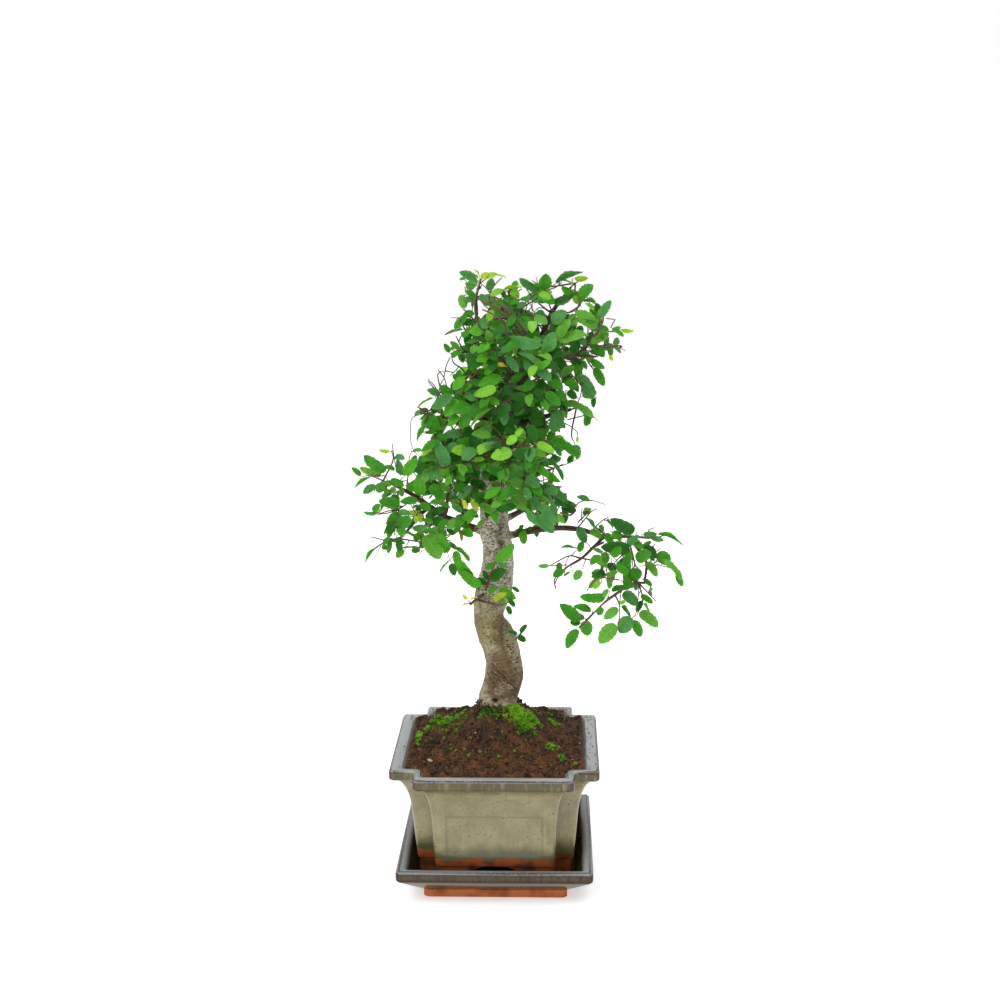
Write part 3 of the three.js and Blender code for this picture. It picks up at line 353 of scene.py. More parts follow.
        Shoot(3, [(39, 62, 277)], 0.2),
        Shoot(3, [(20, 60, 301)], 0.2),
    ]),
    SprayPlan("back_low", 15.5, 2, [
        Shoot(-2, [(32, 70, 268), (37, 77, 269), (41, 82, 271)]),
        Shoot(3, [(26, 54, 267), (18, 66, 266), (12, 75, 264)]),
        Shoot(3, [(37, 64, 256)], 0.15),
    ]),
]


# Leaves that show in front, spray by spray: place of the base, reach to the right and up, width and tone
SEEN: dict[str, list[tuple[int, int, int, int, int, int, str]]] = {
    "left_tip": [
        (-75, -19, 309, -15, 11, 7, "M"), (-93, -19, 306, -5, 6, 4, "M"), (-83, -17, 307, -10, 4, 4, "L"),
        (-86, -18, 305, -12, -6, 5, "M"), (-72, -23, 324, -7, 1, 2, "F"), (-65, -20, 307, -1, 11, 5, "C"),
        (-69, -19, 310, -6, 4, 4, "M"), (-73, -18, 302, 10, -2, 6, "M"), (-75, -19, 297, -1, -5, 3, "L"),
    ],
    "left_top": [
        (-62, -19, 306, 7, 12, 8, "B"), (-53, -20, 307, 5, 12, 6, "D"), (-52, -13, 290, 0, 16, 9, "B"),
        (-49, -18, 301, 4, 12, 6, "L"), (-43, -21, 303, 4, 11, 8, "C"), (-65, -13, 296, 0, -6, 4, "L"),
        (-45, -17, 298, 11, -6, 9, "M"), (-60, -15, 300, 3, -6, 5, "M"),
    ],
    "left_front": [
        (-65, -26, 286, -13, 5, 8, "M"), (-53, -20, 288, -12, 1, 6, "M"), (-67, -26, 284, -8, 4, 4, "B"),
        (-83, -37, 284, 4, 6, 5, "M"), (-81, -35, 283, -8, -1, 2, "C"), (-66, -28, 282, -7, -12, 9, "M"),
        (-57, -33, 279, -10, -7, 9, "M"), (-54, -32, 280, 1, -5, 3, "F"), (-52, -20, 285, 8, -2, 6, "M"),
        (-66, -39, 264, 2, -7, 5, "D"), (-71, -39, 264, -2, -8, 4, "M"), (-71, -40, 267, -7, -6, 4, "M"),
        (-62, -40, 270, 12, -1, 4, "M"), (-56, -37, 272, 11, 2, 4, "C"),
    ],
    "left_back": [
        (-54, -15, 279, -9, -1, 3, "F"), (-53, -13, 278, 1, -7, 4, "F"), (-46, -9, 284, 14, 2, 6, "L"),
        (-45, -12, 276, 10, 6, 6, "D"), (-50, -15, 273, 7, -1, 4, "B"), (-44, -15, 271, 8, 4, 6, "D"),
    ],
    "left_drop": [
        (-50, -30, 268, 9, 2, 4, "M"), (-48, -32, 266, 12, -14, 13, "L"), (-77, -27, 259, 13, 6, 5, "M"),
        (-82, -28, 256, -10, -7, 4, "M"), (-63, -26, 254, -6, -5, 6, "L"), (-53, -30, 256, -11, 3, 2, "M"),
        (-39, -32, 266, 8, -6, 6, "B"), (-39, -32, 257, 7, 6, 4, "M"),
    ],
    "left_inner": [
        (-33, -17, 262, -11, 6, 7, "L"), (-31, -24, 259, -4, -7, 6, "B"), (-27, -24, 255, 11, -8, 5, "B"),
        (-31, -22, 259, 6, -6, 2, "C"), (-27, -25, 253, 3, -11, 6, "B"), (-21, -26, 290, 3, -6, 3, "Y"),
        (-25, -12, 265, 3, -7, 3, "X"), (-23, -14, 265, 8, -2, 7, "B"), (-24, -22, 274, -9, -4, 7, "L"),
        (-33, -20, 268, 5, -4, 4, "D"), (-29, -23, 286, 7, -4, 5, "C"), (-24, -25, 291, 8, 9, 6, "C"),
        (-39, -20, 268, 6, 7, 6, "M"), (-19, -25, 295, -7, 7, 6, "M"),
    ],
    "shoot_strap": [
        (-16, -7, 226, -11, 15, 6, "B"), (-32, -11, 242, -8, -7, 2, "L"),
    ],
    "shoot_mid": [
        (-10, -8, 222, -13, 11, 6, "B"), (1, -14, 242, 13, 13, 6, "B"), (0, -12, 240, -6, -3, 4, "M"),
        (3, -12, 240, 7, -2, 3, "C"), (-3, -8, 227, 9, 9, 9, "D"), (-5, -7, 227, -3, 7, 4, "D"),
        (-6, -6, 223, -7, 5, 5, "D"), (3, -7, 220, 12, -6, 6, "B"),
    ],
    "low_front_b": [
        (-14, -38, 293, 4, -7, 5, "O"), (-9, -37, 289, 11, -4, 6, "L"), (-10, -36, 285, -11, -4, 6, "M"),
        (-6, -36, 294, 8, 7, 6, "M"), (14, -42, 298, 10, -8, 10, "L"), (15, -40, 299, 9, 0, 4, "B"),
        (4, -48, 296, 12, 8, 9, "M"), (6, -47, 303, -11, -6, 6, "B"), (17, -47, 291, -11, -2, 6, "D"),
        (7, -47, 294, -7, -3, 6, "L"), (-4, -6, 300, 9, 4, 6, "D"),
    ],
    "low_back_l": [
        (-16, 52, 287, 0, 14, 9, "D"), (-19, 22, 289, 9, -7, 7, "M"),
    ],
    "mid_front_b": [
        (-10, -48, 330, -10, -4, 9, "C"), (-10, -48, 328, 11, 7, 8, "G"), (-12, -46, 322, 7, 2, 4, "G"),
        (-23, -48, 319, 7, -2, 4, "B"), (-7, -47, 316, 10, -1, 4, "B"), (24, -51, 312, 9, -6, 8, "C"),
        (13, -48, 308, 13, -3, 8, "L"),
    ],
    "left_rise": [
        (-24, -30, 331, -8, -5, 6, "C"), (-43, -24, 325, -7, -3, 3, "F"), (-42, -25, 325, -6, 1, 2, "F"),
        (-26, -27, 322, 8, -3, 5, "D"), (-31, -15, 294, -6, 6, 6, "L"),
    ],
    "mid_left_low": [
        (-31, -32, 315, -6, 17, 9, "C"), (-35, -32, 333, -14, -4, 6, "M"), (-45, -31, 322, -4, -3, 4, "M"),
        (-36, -31, 312, 7, -3, 5, "B"), (-33, -20, 343, -14, 2, 11, "M"), (-44, -28, 344, -10, -8, 4, "M"),
        (-38, -25, 338, -8, 1, 4, "B"),
    ],
    "right_hang": [
        (60, -34, 204, -10, 13, 9, "M"), (69, -32, 211, -10, 6, 6, "M"), (76, -32, 214, -2, -6, 6, "M"),
        (88, -32, 213, -10, -6, 7, "L"), (65, -32, 204, 1, -10, 9, "M"), (60, -34, 198, -10, -11, 8, "M"),
        (87, -32, 201, -13, -11, 11, "L"), (98, -32, 206, -10, -9, 12, "C"), (98, -32, 204, 7, -10, 7, "M"),
        (103, -22, 207, 14, -7, 9, "L"), (104, -21, 219, 9, -4, 5, "M"), (91, -27, 223, 11, -7, 9, "C"),
        (79, -30, 221, -16, -1, 6, "M"), (77, -31, 221, 3, 6, 4, "L"), (83, -29, 225, 12, 5, 6, "M"),
        (89, -32, 216, 4, 3, 3, "G"), (91, -28, 232, 8, -3, 6, "M"), (106, -22, 231, 6, -3, 4, "M"),
    ],
    "right_far": [
        (119, -27, 246, 15, -9, 7, "L"), (129, -26, 237, 4, -9, 4, "M"), (108, -22, 244, 8, -8, 6, "L"),
        (109, -20, 248, 5, -3, 3, "M"), (103, -21, 239, -5, -8, 8, "M"),
    ],
    "right_end": [
        (99, -33, 269, -16, 9, 6, "D"), (105, -26, 265, 9, 1, 4, "C"), (115, -29, 266, 18, 0, 1, "M"),
        (110, -29, 264, 9, -2, 3, "C"), (96, -34, 263, 9, -4, 6, "M"), (83, -32, 268, 7, -3, 6, "M"),
    ],
    "right_back": [
        (79, -14, 263, 5, -7, 6, "M"), (72, -12, 265, -5, 10, 4, "C"), (68, -11, 264, 9, -3, 6, "L"),
    ],
    "right_mid": [
        (96, -35, 257, -19, 3, 8, "D"), (96, -38, 255, -5, -9, 6, "M"), (100, -32, 248, 9, 7, 9, "M"),
        (86, -45, 247, 8, -4, 6, "M"), (83, -45, 254, 5, 7, 6, "M"), (105, -19, 253, 5, 6, 4, "C"),
        (94, -34, 259, 6, 8, 5, "C"),
    ],
    "right_inner": [
        (77, -32, 254, 3, -7, 6, "M"), (72, -31, 248, 8, -4, 6, "L"), (62, -26, 239, -5, -6, 6, "L"),
        (55, -23, 237, -6, -2, 2, "L"), (63, -19, 258, -3, -7, 5, "M"), (59, -27, 255, -11, 4, 3, "C"),
        (20, 2, 261, 1, -9, 6, "B"), (23, 2, 261, -10, 1, 3, "M"), (22, 3, 260, 5, 4, 3, "M"),
        (18, 2, 262, 2, 3, 3, "M"), (39, -39, 246, -7, 0, 2, "L"), (79, -38, 238, 7, 4, 4, "L"),
    ],
    "right_top": [
        (60, -12, 267, 5, -10, 7, "C"), (68, -20, 288, -9, 4, 5, "C"), (42, -23, 296, 10, -6, 6, "C"),
    ],
    "low_front_a": [
        (34, -46, 300, 14, -11, 6, "C"), (34, -46, 292, 11, -13, 7, "C"), (30, -47, 283, 13, -8, 9, "C"),
        (24, -45, 289, 8, -14, 4, "C"), (26, -45, 296, 8, -8, 6, "C"), (36, -41, 315, 9, -9, 4, "B"),
    ],
    "shoot_right": [
        (18, 1, 184, 4, 7, 4, "D"), (16, 4, 180, 6, -2, 5, "D"), (16, 1, 183, -6, 3, 3, "D"),
    ],
    "apex_left": [
        (-10, -15, 442, -11, 6, 6, "C"), (-8, -14, 444, -2, 6, 2, "F"), (-7, -15, 443, 4, 4, 4, "F"),
        (-5, -14, 444, 8, 2, 3, "F"), (3, -14, 445, 7, 0, 2, "F"), (-9, -14, 443, -3, 3, 3, "F"),
        (-11, -13, 438, -7, 1, 1, "C"),
        (-11, -11, 429, -6, 6, 5, "M"), (-12, -11, 427, -7, 3, 5, "C"), (-17, -6, 431, -5, -1, 2, "L"),
        (-17, -11, 428, -1, -4, 2, "L"), (-12, -12, 419, -8, -1, 6, "M"),
    ],
    "apex_mid": [
        (-2, -8, 434, 2, 8, 6, "C"), (8, -18, 435, -9, -2, 5, "G"), (8, -19, 435, 12, 6, 3, "F"),
        (13, -18, 435, 6, -4, 6, "G"), (8, -15, 430, 7, -2, 7, "M"), (7, -11, 426, 6, -2, 5, "C"),
    ],
    "top_tip": [
        (33, -5, 434, -14, 6, 4, "C"), (37, -3, 434, 0, 10, 10, "M"), (44, -2, 438, 18, 11, 2, "C"),
        (57, 2, 441, 9, 0, 3, "F"), (48, 0, 440, 8, 0, 3, "F"), (48, -1, 436, 11, -8, 4, "B"),
    ],
    "top_front": [
        (23, -32, 428, -5, -3, 4, "C"), (27, -32, 430, -7, 1, 4, "M"), (7, -26, 420, -7, 0, 6, "M"),
        (-7, -34, 411, 5, 7, 6, "C"), (8, -32, 412, -10, 2, 6, "M"), (31, -31, 416, -12, 4, 6, "D"),
        (27, -33, 418, -9, -7, 9, "M"), (42, -33, 414, 7, 9, 9, "C"), (46, -34, 405, 6, 12, 8, "L"),
        (48, -34, 402, 13, 8, 9, "L"),
    ],
    "upper_left_tip": [
        (-12, -11, 413, -9, -1, 6, "M"), (-20, -14, 408, -13, -2, 4, "C"), (-15, -26, 408, -5, -3, 4, "M"),
        (-13, -27, 398, -6, -1, 5, "D"),
    ],
    "upper_left_low": [
        (-22, -22, 395, -6, 6, 4, "L"), (-29, -21, 393, -3, 6, 4, "M"), (-28, -21, 390, 6, 4, 4, "M"),
    ],
    "mid_left_tip": [
        (-33, -22, 380, 7, 0, 2, "M"), (-41, -21, 361, -12, -2, 3, "G"), (-36, -20, 363, -8, 5, 6, "C"),
        (-50, -22, 353, -4, -4, 3, "C"),
    ],
    "upper_front_a": [
        (-5, -52, 410, -8, 2, 6, "B"), (14, -53, 407, 18, -7, 6, "C"), (19, -53, 397, 13, -3, 6, "C"),
        (11, -46, 393, 8, -9, 6, "C"), (10, -46, 387, -6, 2, 3, "Y"), (-5, -47, 386, 4, 5, 4, "G"),
        (4, -49, 373, -14, -5, 6, "G"), (8, -45, 379, -16, -4, 8, "B"), (-17, -52, 380, -8, -7, 7, "B"),
        (20, -55, 404, -10, -3, 6, "M"), (0, -52, 403, -8, -5, 6, "B"), (-1, -51, 394, -8, -2, 6, "B"),
        (7, -49, 397, 8, 4, 6, "C"), (2, -46, 387, -6, -5, 6, "B"), (-10, -51, 365, -6, 4, 6, "C"),
        (-19, -51, 371, 6, 5, 5, "M"),
    ],
    "upper_left_back": [
        (-13, -7, 382, -8, -9, 4, "B"),
    ],
    "upper_front_b": [
        (19, -24, 369, -15, -5, 9, "C"), (29, -35, 375, -7, -6, 7, "M"), (38, -49, 397, 4, 13, 9, "C"),
        (34, -50, 396, 6, 5, 6, "M"), (32, -48, 384, 9, -5, 8, "C"), (31, -49, 385, 9, 6, 5, "B"),
        (41, -40, 376, 7, -5, 7, "M"), (0, -47, 358, -15, -9, 5, "L"), (13, -44, 361, -8, -7, 8, "D"),
        (22, -34, 367, -6, -10, 9, "M"), (37, -39, 368, 10, -8, 7, "M"), (34, -39, 363, 5, -6, 5, "B"),
        (14, -27, 373, 6, 6, 6, "M"), (-2, -46, 364, 8, -2, 6, "B"), (27, -45, 383, -4, 7, 6, "C"),
        (14, -41, 366, 9, -2, 6, "D"),
    ],
    "top_side": [
        (61, -18, 430, 6, 9, 9, "M"), (40, -4, 426, 16, 1, 2, "C"),
    ],
    "top_right_front": [
        (74, -24, 417, 6, 11, 6, "C"), (72, -25, 410, -14, 12, 10, "L"), (72, -25, 414, -9, 5, 6, "M"),
        (65, -16, 397, -4, 5, 6, "C"), (55, -15, 391, 4, 8, 7, "D"), (55, -14, 391, -14, 0, 6, "M"),
        (68, -18, 399, 10, 5, 6, "L"), (68, -8, 386, 9, -6, 4, "M"), (61, -11, 387, 5, 5, 6, "C"),
    ],
    "top_right_tip": [
        (84, -9, 407, 7, -4, 4, "B"), (89, -9, 407, 8, -2, 1, "F"), (83, -8, 406, 5, 3, 3, "L"),
        (80, -17, 398, -4, 8, 5, "M"), (84, -17, 396, 5, -3, 3, "C"), (73, -14, 395, 5, -4, 4, "M"),
        (81, -19, 390, 2, -3, 4, "F"),
    ],
    "right_upper": [
        (62, 0, 384, 4, -5, 4, "C"), (71, 2, 379, 7, -12, 6, "M"), (61, -18, 376, 11, -11, 6, "C"),
        (62, -17, 370, 7, -10, 4, "C"), (57, -3, 383, 4, -12, 6, "M"), (48, -10, 375, 8, 7, 6, "L"),
        (50, -12, 371, 9, -3, 7, "B"),
    ],
    "mid_left_front": [
        (-27, -35, 366, -13, -9, 6, "C"), (-22, -33, 362, -10, -10, 9, "B"), (-21, -21, 336, -13, 1, 7, "C"),
        (-17, -24, 332, 1, 9, 8, "D"), (-18, -32, 350, 14, 11, 9, "M"), (-15, -33, 352, -6, -8, 8, "M"),
        (-22, -33, 351, -8, -6, 6, "B"),
    ],
    "mid_right_front": [
        (10, 7, 338, -18, -8, 11, "M"), (19, 4, 348, -9, -12, 8, "C"), (26, 1, 350, 11, -16, 11, "M"),
        (37, -16, 338, -7, -8, 8, "M"), (40, -25, 332, 21, -8, 10, "M"), (34, -25, 328, -9, -1, 4, "M"),
        (37, -25, 319, 15, -8, 4, "M"), (43, -26, 328, 5, -6, 4, "C"),
    ],
    "mid_front_a": [
        (18, -58, 341, -7, -4, 6, "G"), (15, -58, 330, -14, -1, 9, "G"), (26, -58, 349, 5, -10, 7, "D"),
        (31, -58, 336, 12, -4, 6, "G"), (15, -58, 331, 10, -4, 7, "D"), (17, -57, 341, 4, 5, 4, "G"),
        (17, -55, 322, 9, -4, 4, "C"), (18, -56, 323, -12, -1, 4, "D"), (6, -59, 315, -6, 6, 6, "D"),
        (12, -61, 314, 9, 4, 6, "D"),
    ],
    "mid_right_tip": [
        (49, -21, 357, 21, -2, 9, "L"), (47, -20, 352, -5, -14, 10, "C"), (51, -21, 356, 1, -8, 2, "M"),
        (52, -22, 366, 6, -4, 6, "D"), (59, -21, 334, 0, -4, 2, "F"),
    ],
    "low_back_r": [
        (43, 41, 290, -6, -3, 4, "M"),
    ],
    "shoot_low": [
        (-4, -14, 218, 4, 6, 5, "M"), (-1, -16, 214, 8, 6, 5, "O"), (13, -17, 224, 5, -3, 3, "D"),
        (3, -17, 216, 5, -3, 4, "B"), (10, -18, 215, 5, -4, 4, "D"), (9, -17, 210, 3, -6, 4, "D"),
        (-20, -11, 213, -3, 4, 2, "Y"), (-19, -9, 209, -5, 0, 2, "Y"), (-18, -10, 212, 5, 4, 2, "Y"),
    ],
}

# Bare twigs that show: their spray, radius at both ends and route
BARE: list[tuple[str, float, float, list[tuple[int, int, int]]]] = [
    ("upper_front_a", 1.5, 0.6, [
        (23, -52, 407), (16, -50, 416), (10, -49, 422), (3, -47, 427), (-3, -46, 430), (-8, -44, 432),
    ]),
    ("upper_front_a", 1.2, 0.5, [(25, -51, 409), (18, -49, 418), (12, -48, 425), (4, -46, 430), (0, -45, 434)]),
    ("upper_front_a", 1, 0.5, [(21, -51, 404), (14, -50, 413), (8, -49, 418), (2, -48, 422), (-5, -46, 425)]),
    ("top_front", 0.8, 0.5, [
        (15, -24, 417), (22, -23, 424), (30, -22, 429), (38, -20, 435), (44, -19, 437), (48, -17, 440),
    ]),
    ("upper_front_a", 0.9, 0.5, [
        (-6, -50, 412), (-9, -48, 420), (-10, -46, 429), (-9, -44, 435), (-6, -42, 445),
    ]),
    ("top_right_front", 1.3, 0.5, [(59, -11, 390), (67, -16, 400), (74, -20, 408), (74, -24, 417)]),
    ("top_right_front", 0.7, 0.5, [(56, -22, 415), (59, -20, 423), (61, -18, 429)]),
    ("upper_left_low", 0.6, 0.4, [(-31, -26, 370), (-33, -24, 376), (-37, -22, 381)]),
    ("upper_left_low", 0.5, 0.4, [(-33, -26, 376), (-31, -23, 385), (-29, -21, 389)]),
    ("mid_left_tip", 0.6, 0.45, [(-36, -16, 361), (-40, -21, 370), (-44, -26, 375)]),
    ("mid_left_low", 0.7, 0.5, [(-44, -28, 349), (-48, -25, 352), (-51, -22, 355)]),
    ("mid_left_tip", 0.45, 0.25, [
        (-38, -17, 352), (-47, -18, 350), (-56, -20, 347), (-57, -22, 339), (-57, -23, 332), (-55, -25, 325),
        (-51, -26, 321),
    ]),
    ("mid_left_low", 0.6, 0.5, [(-38, -21, 349), (-36, -23, 343), (-35, -24, 336), (-32, -26, 327)]),
    ("mid_left_low", 0.6, 0.5, [(-35, -30, 313), (-38, -31, 319), (-41, -32, 325)]),
    ("mid_front_b", 0.8, 0.5, [
        (-18, -46, 319), (-10, -44, 324), (-1, -43, 326), (13, -41, 329), (29, -40, 332), (39, -38, 333),
    ]),
    ("upper_front_b", 1.1, 0.8, [(-1, -44, 361), (5, -41, 361), (11, -39, 362), (19, -36, 367)]),
    ("upper_front_a", 0.9, 0.7, [(-7, -44, 385), (-13, -42, 378), (-18, -40, 372), (-23, -37, 367)]),
    ("top_right_tip", 0.8, 1.3, [(72, -16, 389), (64, -13, 389), (55, -11, 389), (45, -8, 389)]),
    ("mid_right_tip", 0.6, 0.4, [(52, -11, 344), (60, -11, 346), (67, -12, 348)]),
    ("mid_right_tip", 0.5, 0.4, [(50, -13, 342), (55, -17, 340), (59, -22, 337)]),
    ("mid_front_a", 0.7, 0.5, [(25, -54, 327), (29, -53, 322), (33, -52, 317)]),
    ("left_front", 0.6, 0.5, [(-76, -38, 264), (-85, -30, 264)]),
    ("left_tip", 0.6, 0.35, [(-68, -17, 308), (-69, -21, 319), (-70, -24, 330)]),
    ("left_front", 0.7, 0.4, [(-67, -24, 282), (-73, -30, 283), (-80, -36, 282)]),
    ("left_back", 0.7, 0.6, [(-51, -12, 274), (-46, -13, 267), (-43, -14, 273)]),
    ("right_back", 1.1, 0.45, [
        (78, -13, 256), (71, -16, 253), (62, -19, 246), (53, -22, 241), (43, -25, 232), (44, -28, 226),
    ]),
    ("right_inner", 0.4, 0.5, [(35, -36, 245), (43, -35, 245), (52, -34, 245)]),
    ("right_hang", 0.5, 0.7, [(66, -29, 225), (69, -34, 231), (74, -39, 237), (88, -44, 237)]),
    ("right_hang", 1.2, 0.5, [
        (107, -20, 228), (100, -23, 229), (94, -26, 227), (80, -29, 218), (66, -32, 204), (60, -34, 199),
    ]),
    ("right_hang", 0.5, 0.4, [(90, -26, 223), (89, -30, 215), (89, -34, 208)]),
    ("right_hang", 0.5, 0.4, [(103, -22, 228), (102, -28, 218), (100, -34, 208)]),
    ("right_end", 0.7, 0.5, [(93, -32, 265), (103, -31, 264), (114, -30, 264)]),
    ("right_far", 0.5, 0.4, [(113, -23, 244), (119, -27, 246)]),
    ("right_top", 0.8, 0.3, [(54, -17, 279), (58, -18, 284), (62, -18, 287), (69, -19, 288), (79, -20, 285)]),
    ("right_top", 0.8, 0.5, [(60, -9, 270), (64, -13, 275), (68, -17, 280)]),
    ("right_top", 1, 0.7, [(58, -12, 279), (54, -18, 277), (47, -23, 280)]),
    ("top_right_tip", 0.6, 0.8, [(85, -16, 394), (90, -16, 396), (82, -18, 397), (77, -18, 399)]),
    ("top_right_tip", 0.5, 0.4, [(79, -4, 414), (84, -10, 414)]),
    ("top_right_tip", 0.5, 0.4, [(82, -7, 408), (85, -10, 414)]),
    ("mid_front_b", 0.6, 0.4, [(34, -50, 304), (41, -46, 304), (48, -42, 303)]),
    ("right_far", 0.6, 0.4, [(111, -18, 252), (113, -30, 259)]),
    ("left_top", 0.7, 0.6, [(-64, -11, 300), (-69, -13, 301), (-77, -16, 301)]),
    ("left_tip", 0.6, 0.45, [(-77, -15, 305), (-83, -17, 305), (-86, -19, 306)]),
    ("shoot_low", 1.7, 1, [(-8, -4, 215), (-12, -7, 213), (-18, -11, 209)]),
    ("shoot_low", 0.7, 0.4, [(-12, -4, 210), (-2, -10, 209), (2, -16, 207)]),
    ("shoot_mid", 1.1, 0.5, [(-7, -3, 218), (-5, -7, 225), (-2, -10, 234), (1, -14, 242)]),
    ("right_hang", 0.4, 0.5, [(113, -17, 222), (109, -20, 228), (107, -23, 231)]),
]


# The foliage's outline from the front, right and up from the foot, as it shows on the trunk's plane
OUTLINE: list[tuple[int, int]] = [
    (-26, 447), (-16, 451), (-6, 450), (8, 446), (15, 441), (26, 441), (37, 445), (48, 446), (61, 450),
    (65, 448), (65, 439), (72, 435), (74, 428), (84, 424), (85, 417), (93, 408), (99, 403), (95, 397),
    (87, 391), (84, 381), (81, 366), (78, 360), (73, 360), (71, 351), (70, 340), (61, 331), (64, 318),
    (63, 312), (51, 309), (47, 300), (53, 291), (51, 286), (61, 287), (77, 283), (82, 277), (70, 275),
    (79, 271), (92, 269), (105, 263), (122, 259), (140, 256), (137, 250), (124, 250), (131, 239),
    (140, 232), (140, 214), (132, 220), (123, 226), (117, 232), (113, 221), (122, 204), (122, 187),
    (113, 189), (109, 177), (97, 175), (81, 170), (74, 173), (66, 175), (56, 166), (47, 169), (50, 181),
    (47, 200), (50, 206), (62, 204), (57, 212), (47, 213), (44, 221), (29, 229), (32, 236), (44, 235),
    (48, 242), (47, 253), (36, 251), (27, 254), (18, 245), (18, 221), (19, 206), (18, 196), (23, 190),
    (25, 173), (16, 170), (10, 179), (13, 192), (7, 195), (0, 201), (-12, 201), (-24, 198), (-27, 209),
    (-18, 213), (-25, 218), (-32, 225), (-44, 225), (-42, 235), (-35, 242), (-41, 247), (-44, 239),
    (-63, 238), (-70, 231), (-76, 236), (-85, 239), (-94, 231), (-101, 235), (-98, 242), (-85, 250),
    (-92, 254), (-94, 263), (-96, 271), (-87, 277), (-84, 284), (-95, 286), (-105, 290), (-105, 299),
    (-96, 303), (-97, 312), (-89, 315), (-84, 321), (-75, 324), (-70, 315), (-60, 312), (-61, 333),
    (-62, 346), (-53, 352), (-54, 359), (-50, 369), (-41, 373), (-38, 382), (-34, 386), (-38, 395),
    (-32, 399), (-34, 405), (-25, 409), (-22, 417), (-25, 426), (-23, 434), (-19, 438), (-26, 443),
]


# Openings between the sprays through which the sky shows from the front: x, z and radius on the same plane
OPENINGS: list[tuple[int, int, float]] = [
    (15, 268, 5.1), (6, 438, 4.8), (49, 297, 4.3), (-83, 266, 4.2), (-28, 380, 4), (-54, 326, 3.8),
    (-9, 417, 3.6), (22, 431, 3.6), (53, 420, 3.6), (-56, 339, 3.6), (51, 331, 3.6), (48, 429, 3.2),
    (81, 413, 3.2), (27, 420, 3), (-25, 397, 3), (-31, 370, 3), (57, 435, 2.9), (63, 422, 2.9),
    (57, 345, 2.9), (42, 420, 2.6), (68, 374, 2.6), (56, 328, 2.6), (42, 304, 2.6), (35, 297, 2.6),
    (23, 265, 2.6), (-61, 315, 2.9),
]


# Sprays with few and small leaves
AIRY = ("right_top", "right_end", "right_far", "right_hang", "right_inner", "right_mid", "right_back")


# Small tools


def linear(code: str) -> tuple[float, float, float, float]:
    """Turns a colour from sRGB hex into linear light.

    Args:
        code: the colour as #rrggbb.

    Returns:
        Linear red, green, blue and an alpha of one.
    """
    parts = [int(code[i : i + 2], 16) / 255 for i in (1, 3, 5)]
    light = [c / 12.92 if c <= 0.04045 else ((c + 0.055) / 1.055) ** 2.4 for c in parts]
    return (light[0], light[1], light[2], 1.0)


def feed(node: bpy.types.Node, links: dict[int | str, object]) -> None:
    """Gives each named input of a node the socket that feeds it or the value that it holds.

    Args:
        node: the node.
        links: a socket or a value for each input.
    """
    for name, value in links.items():
        socket = node.inputs[name]
        if isinstance(value, bpy.types.NodeSocket):
            node.id_data.links.new(value, socket)
        else:
            socket.default_value = value


def add(
    tree: bpy.types.NodeTree,
    kind: str,
    links: dict[int | str, object] | None = None,
    out: int | str = 0,
    **settings: object,
) -> bpy.types.NodeSocket:
    """Adds a node with its settings and links.

    Args:
        tree: the node tree to add to.
        kind: the node's type name after ShaderNode.
        links: for each input, the socket that feeds it or the value that it holds.
        out: the output that is wanted.
        settings: the node's own properties.

    Returns:
        That output of the new node.
    """
    made = tree.nodes.new("ShaderNode" + kind)
    for name, value in settings.items():
        setattr(made, name, value)
    feed(made, links or {})
    return made.outputs[out]


def new_material(name: str) -> tuple[bpy.types.Material, bpy.types.NodeTree, bpy.types.Node]:
    """Starts a node material and returns it with its tree and its Principled shader."""
    material = bpy.data.materials.new(name)
    material.use_nodes = True
    tree = material.node_tree
    return material, tree, tree.nodes["Principled BSDF"]


def deselect() -> None:
    """Leaves object mode's selection empty."""
    if bpy.context.object and bpy.context.object.mode != "OBJECT":
        bpy.ops.object.mode_set(mode="OBJECT")
    bpy.ops.object.select_all(action="DESELECT")


def take(piece: bpy.types.Object) -> None:
    """Selects one object alone and makes it active."""
    deselect()
    piece.select_set(True)
    bpy.context.view_layer.objects.active = piece


def apply_all(piece: bpy.types.Object) -> None:
    """Applies every modifier of an object in order."""
    take(piece)
    for modifier in list(piece.modifiers):
        bpy.ops.object.modifier_apply(modifier=modifier.name)


def settle(piece: bpy.types.Object, body: str, slot: str, *nodes: str) -> None:
    """Rides a finished piece on its body and hides the solids that it stands for."""
    take(piece)
    bpy.ops.object.transform_apply(location=True, rotation=True, scale=True)
    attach(piece, body)
    if nodes:
        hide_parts(*nodes)
    log.info("%s: %d faces", piece.name, len(piece.data.polygons))


def draw(seed: int, choice: int) -> float:
    """A repeatable draw between 0 and 1 for a numbered choice."""
    wave = math.sin(seed * 12.9898 + choice * 78.233) * 43758.5453
    return wave - math.floor(wave)


def paints(*codes: str) -> list[np.ndarray]:
    """Colours in linear light, as arrays, from sRGB hex."""
    return [np.array(linear(code)) for code in codes]


def bell(value: np.ndarray, middle: float | np.ndarray, width: float, power: int = 2) -> np.ndarray:
    """One in the middle, and next to nothing from about twice the width on."""
    return np.exp(-(((value - middle) / width) ** power))


def ramp(value: np.ndarray, low: float | np.ndarray, high: float | np.ndarray) -> np.ndarray:
    """Zero up to low, which may be the greater, and one from high on."""
    return np.clip((value - low) / (high - low), 0, 1)


def skin_of(mesh: bpy.types.Mesh) -> tuple[np.ndarray, np.ndarray]:
    """The places and the normals of a mesh's vertices, in metres."""
    place, normal = np.empty(len(mesh.vertices) * 3), np.empty(len(mesh.vertices) * 3)
    mesh.vertices.foreach_get("co", place)
    mesh.vertices.foreach_get("normal", normal)
    return place.reshape(-1, 3), normal.reshape(-1, 3)


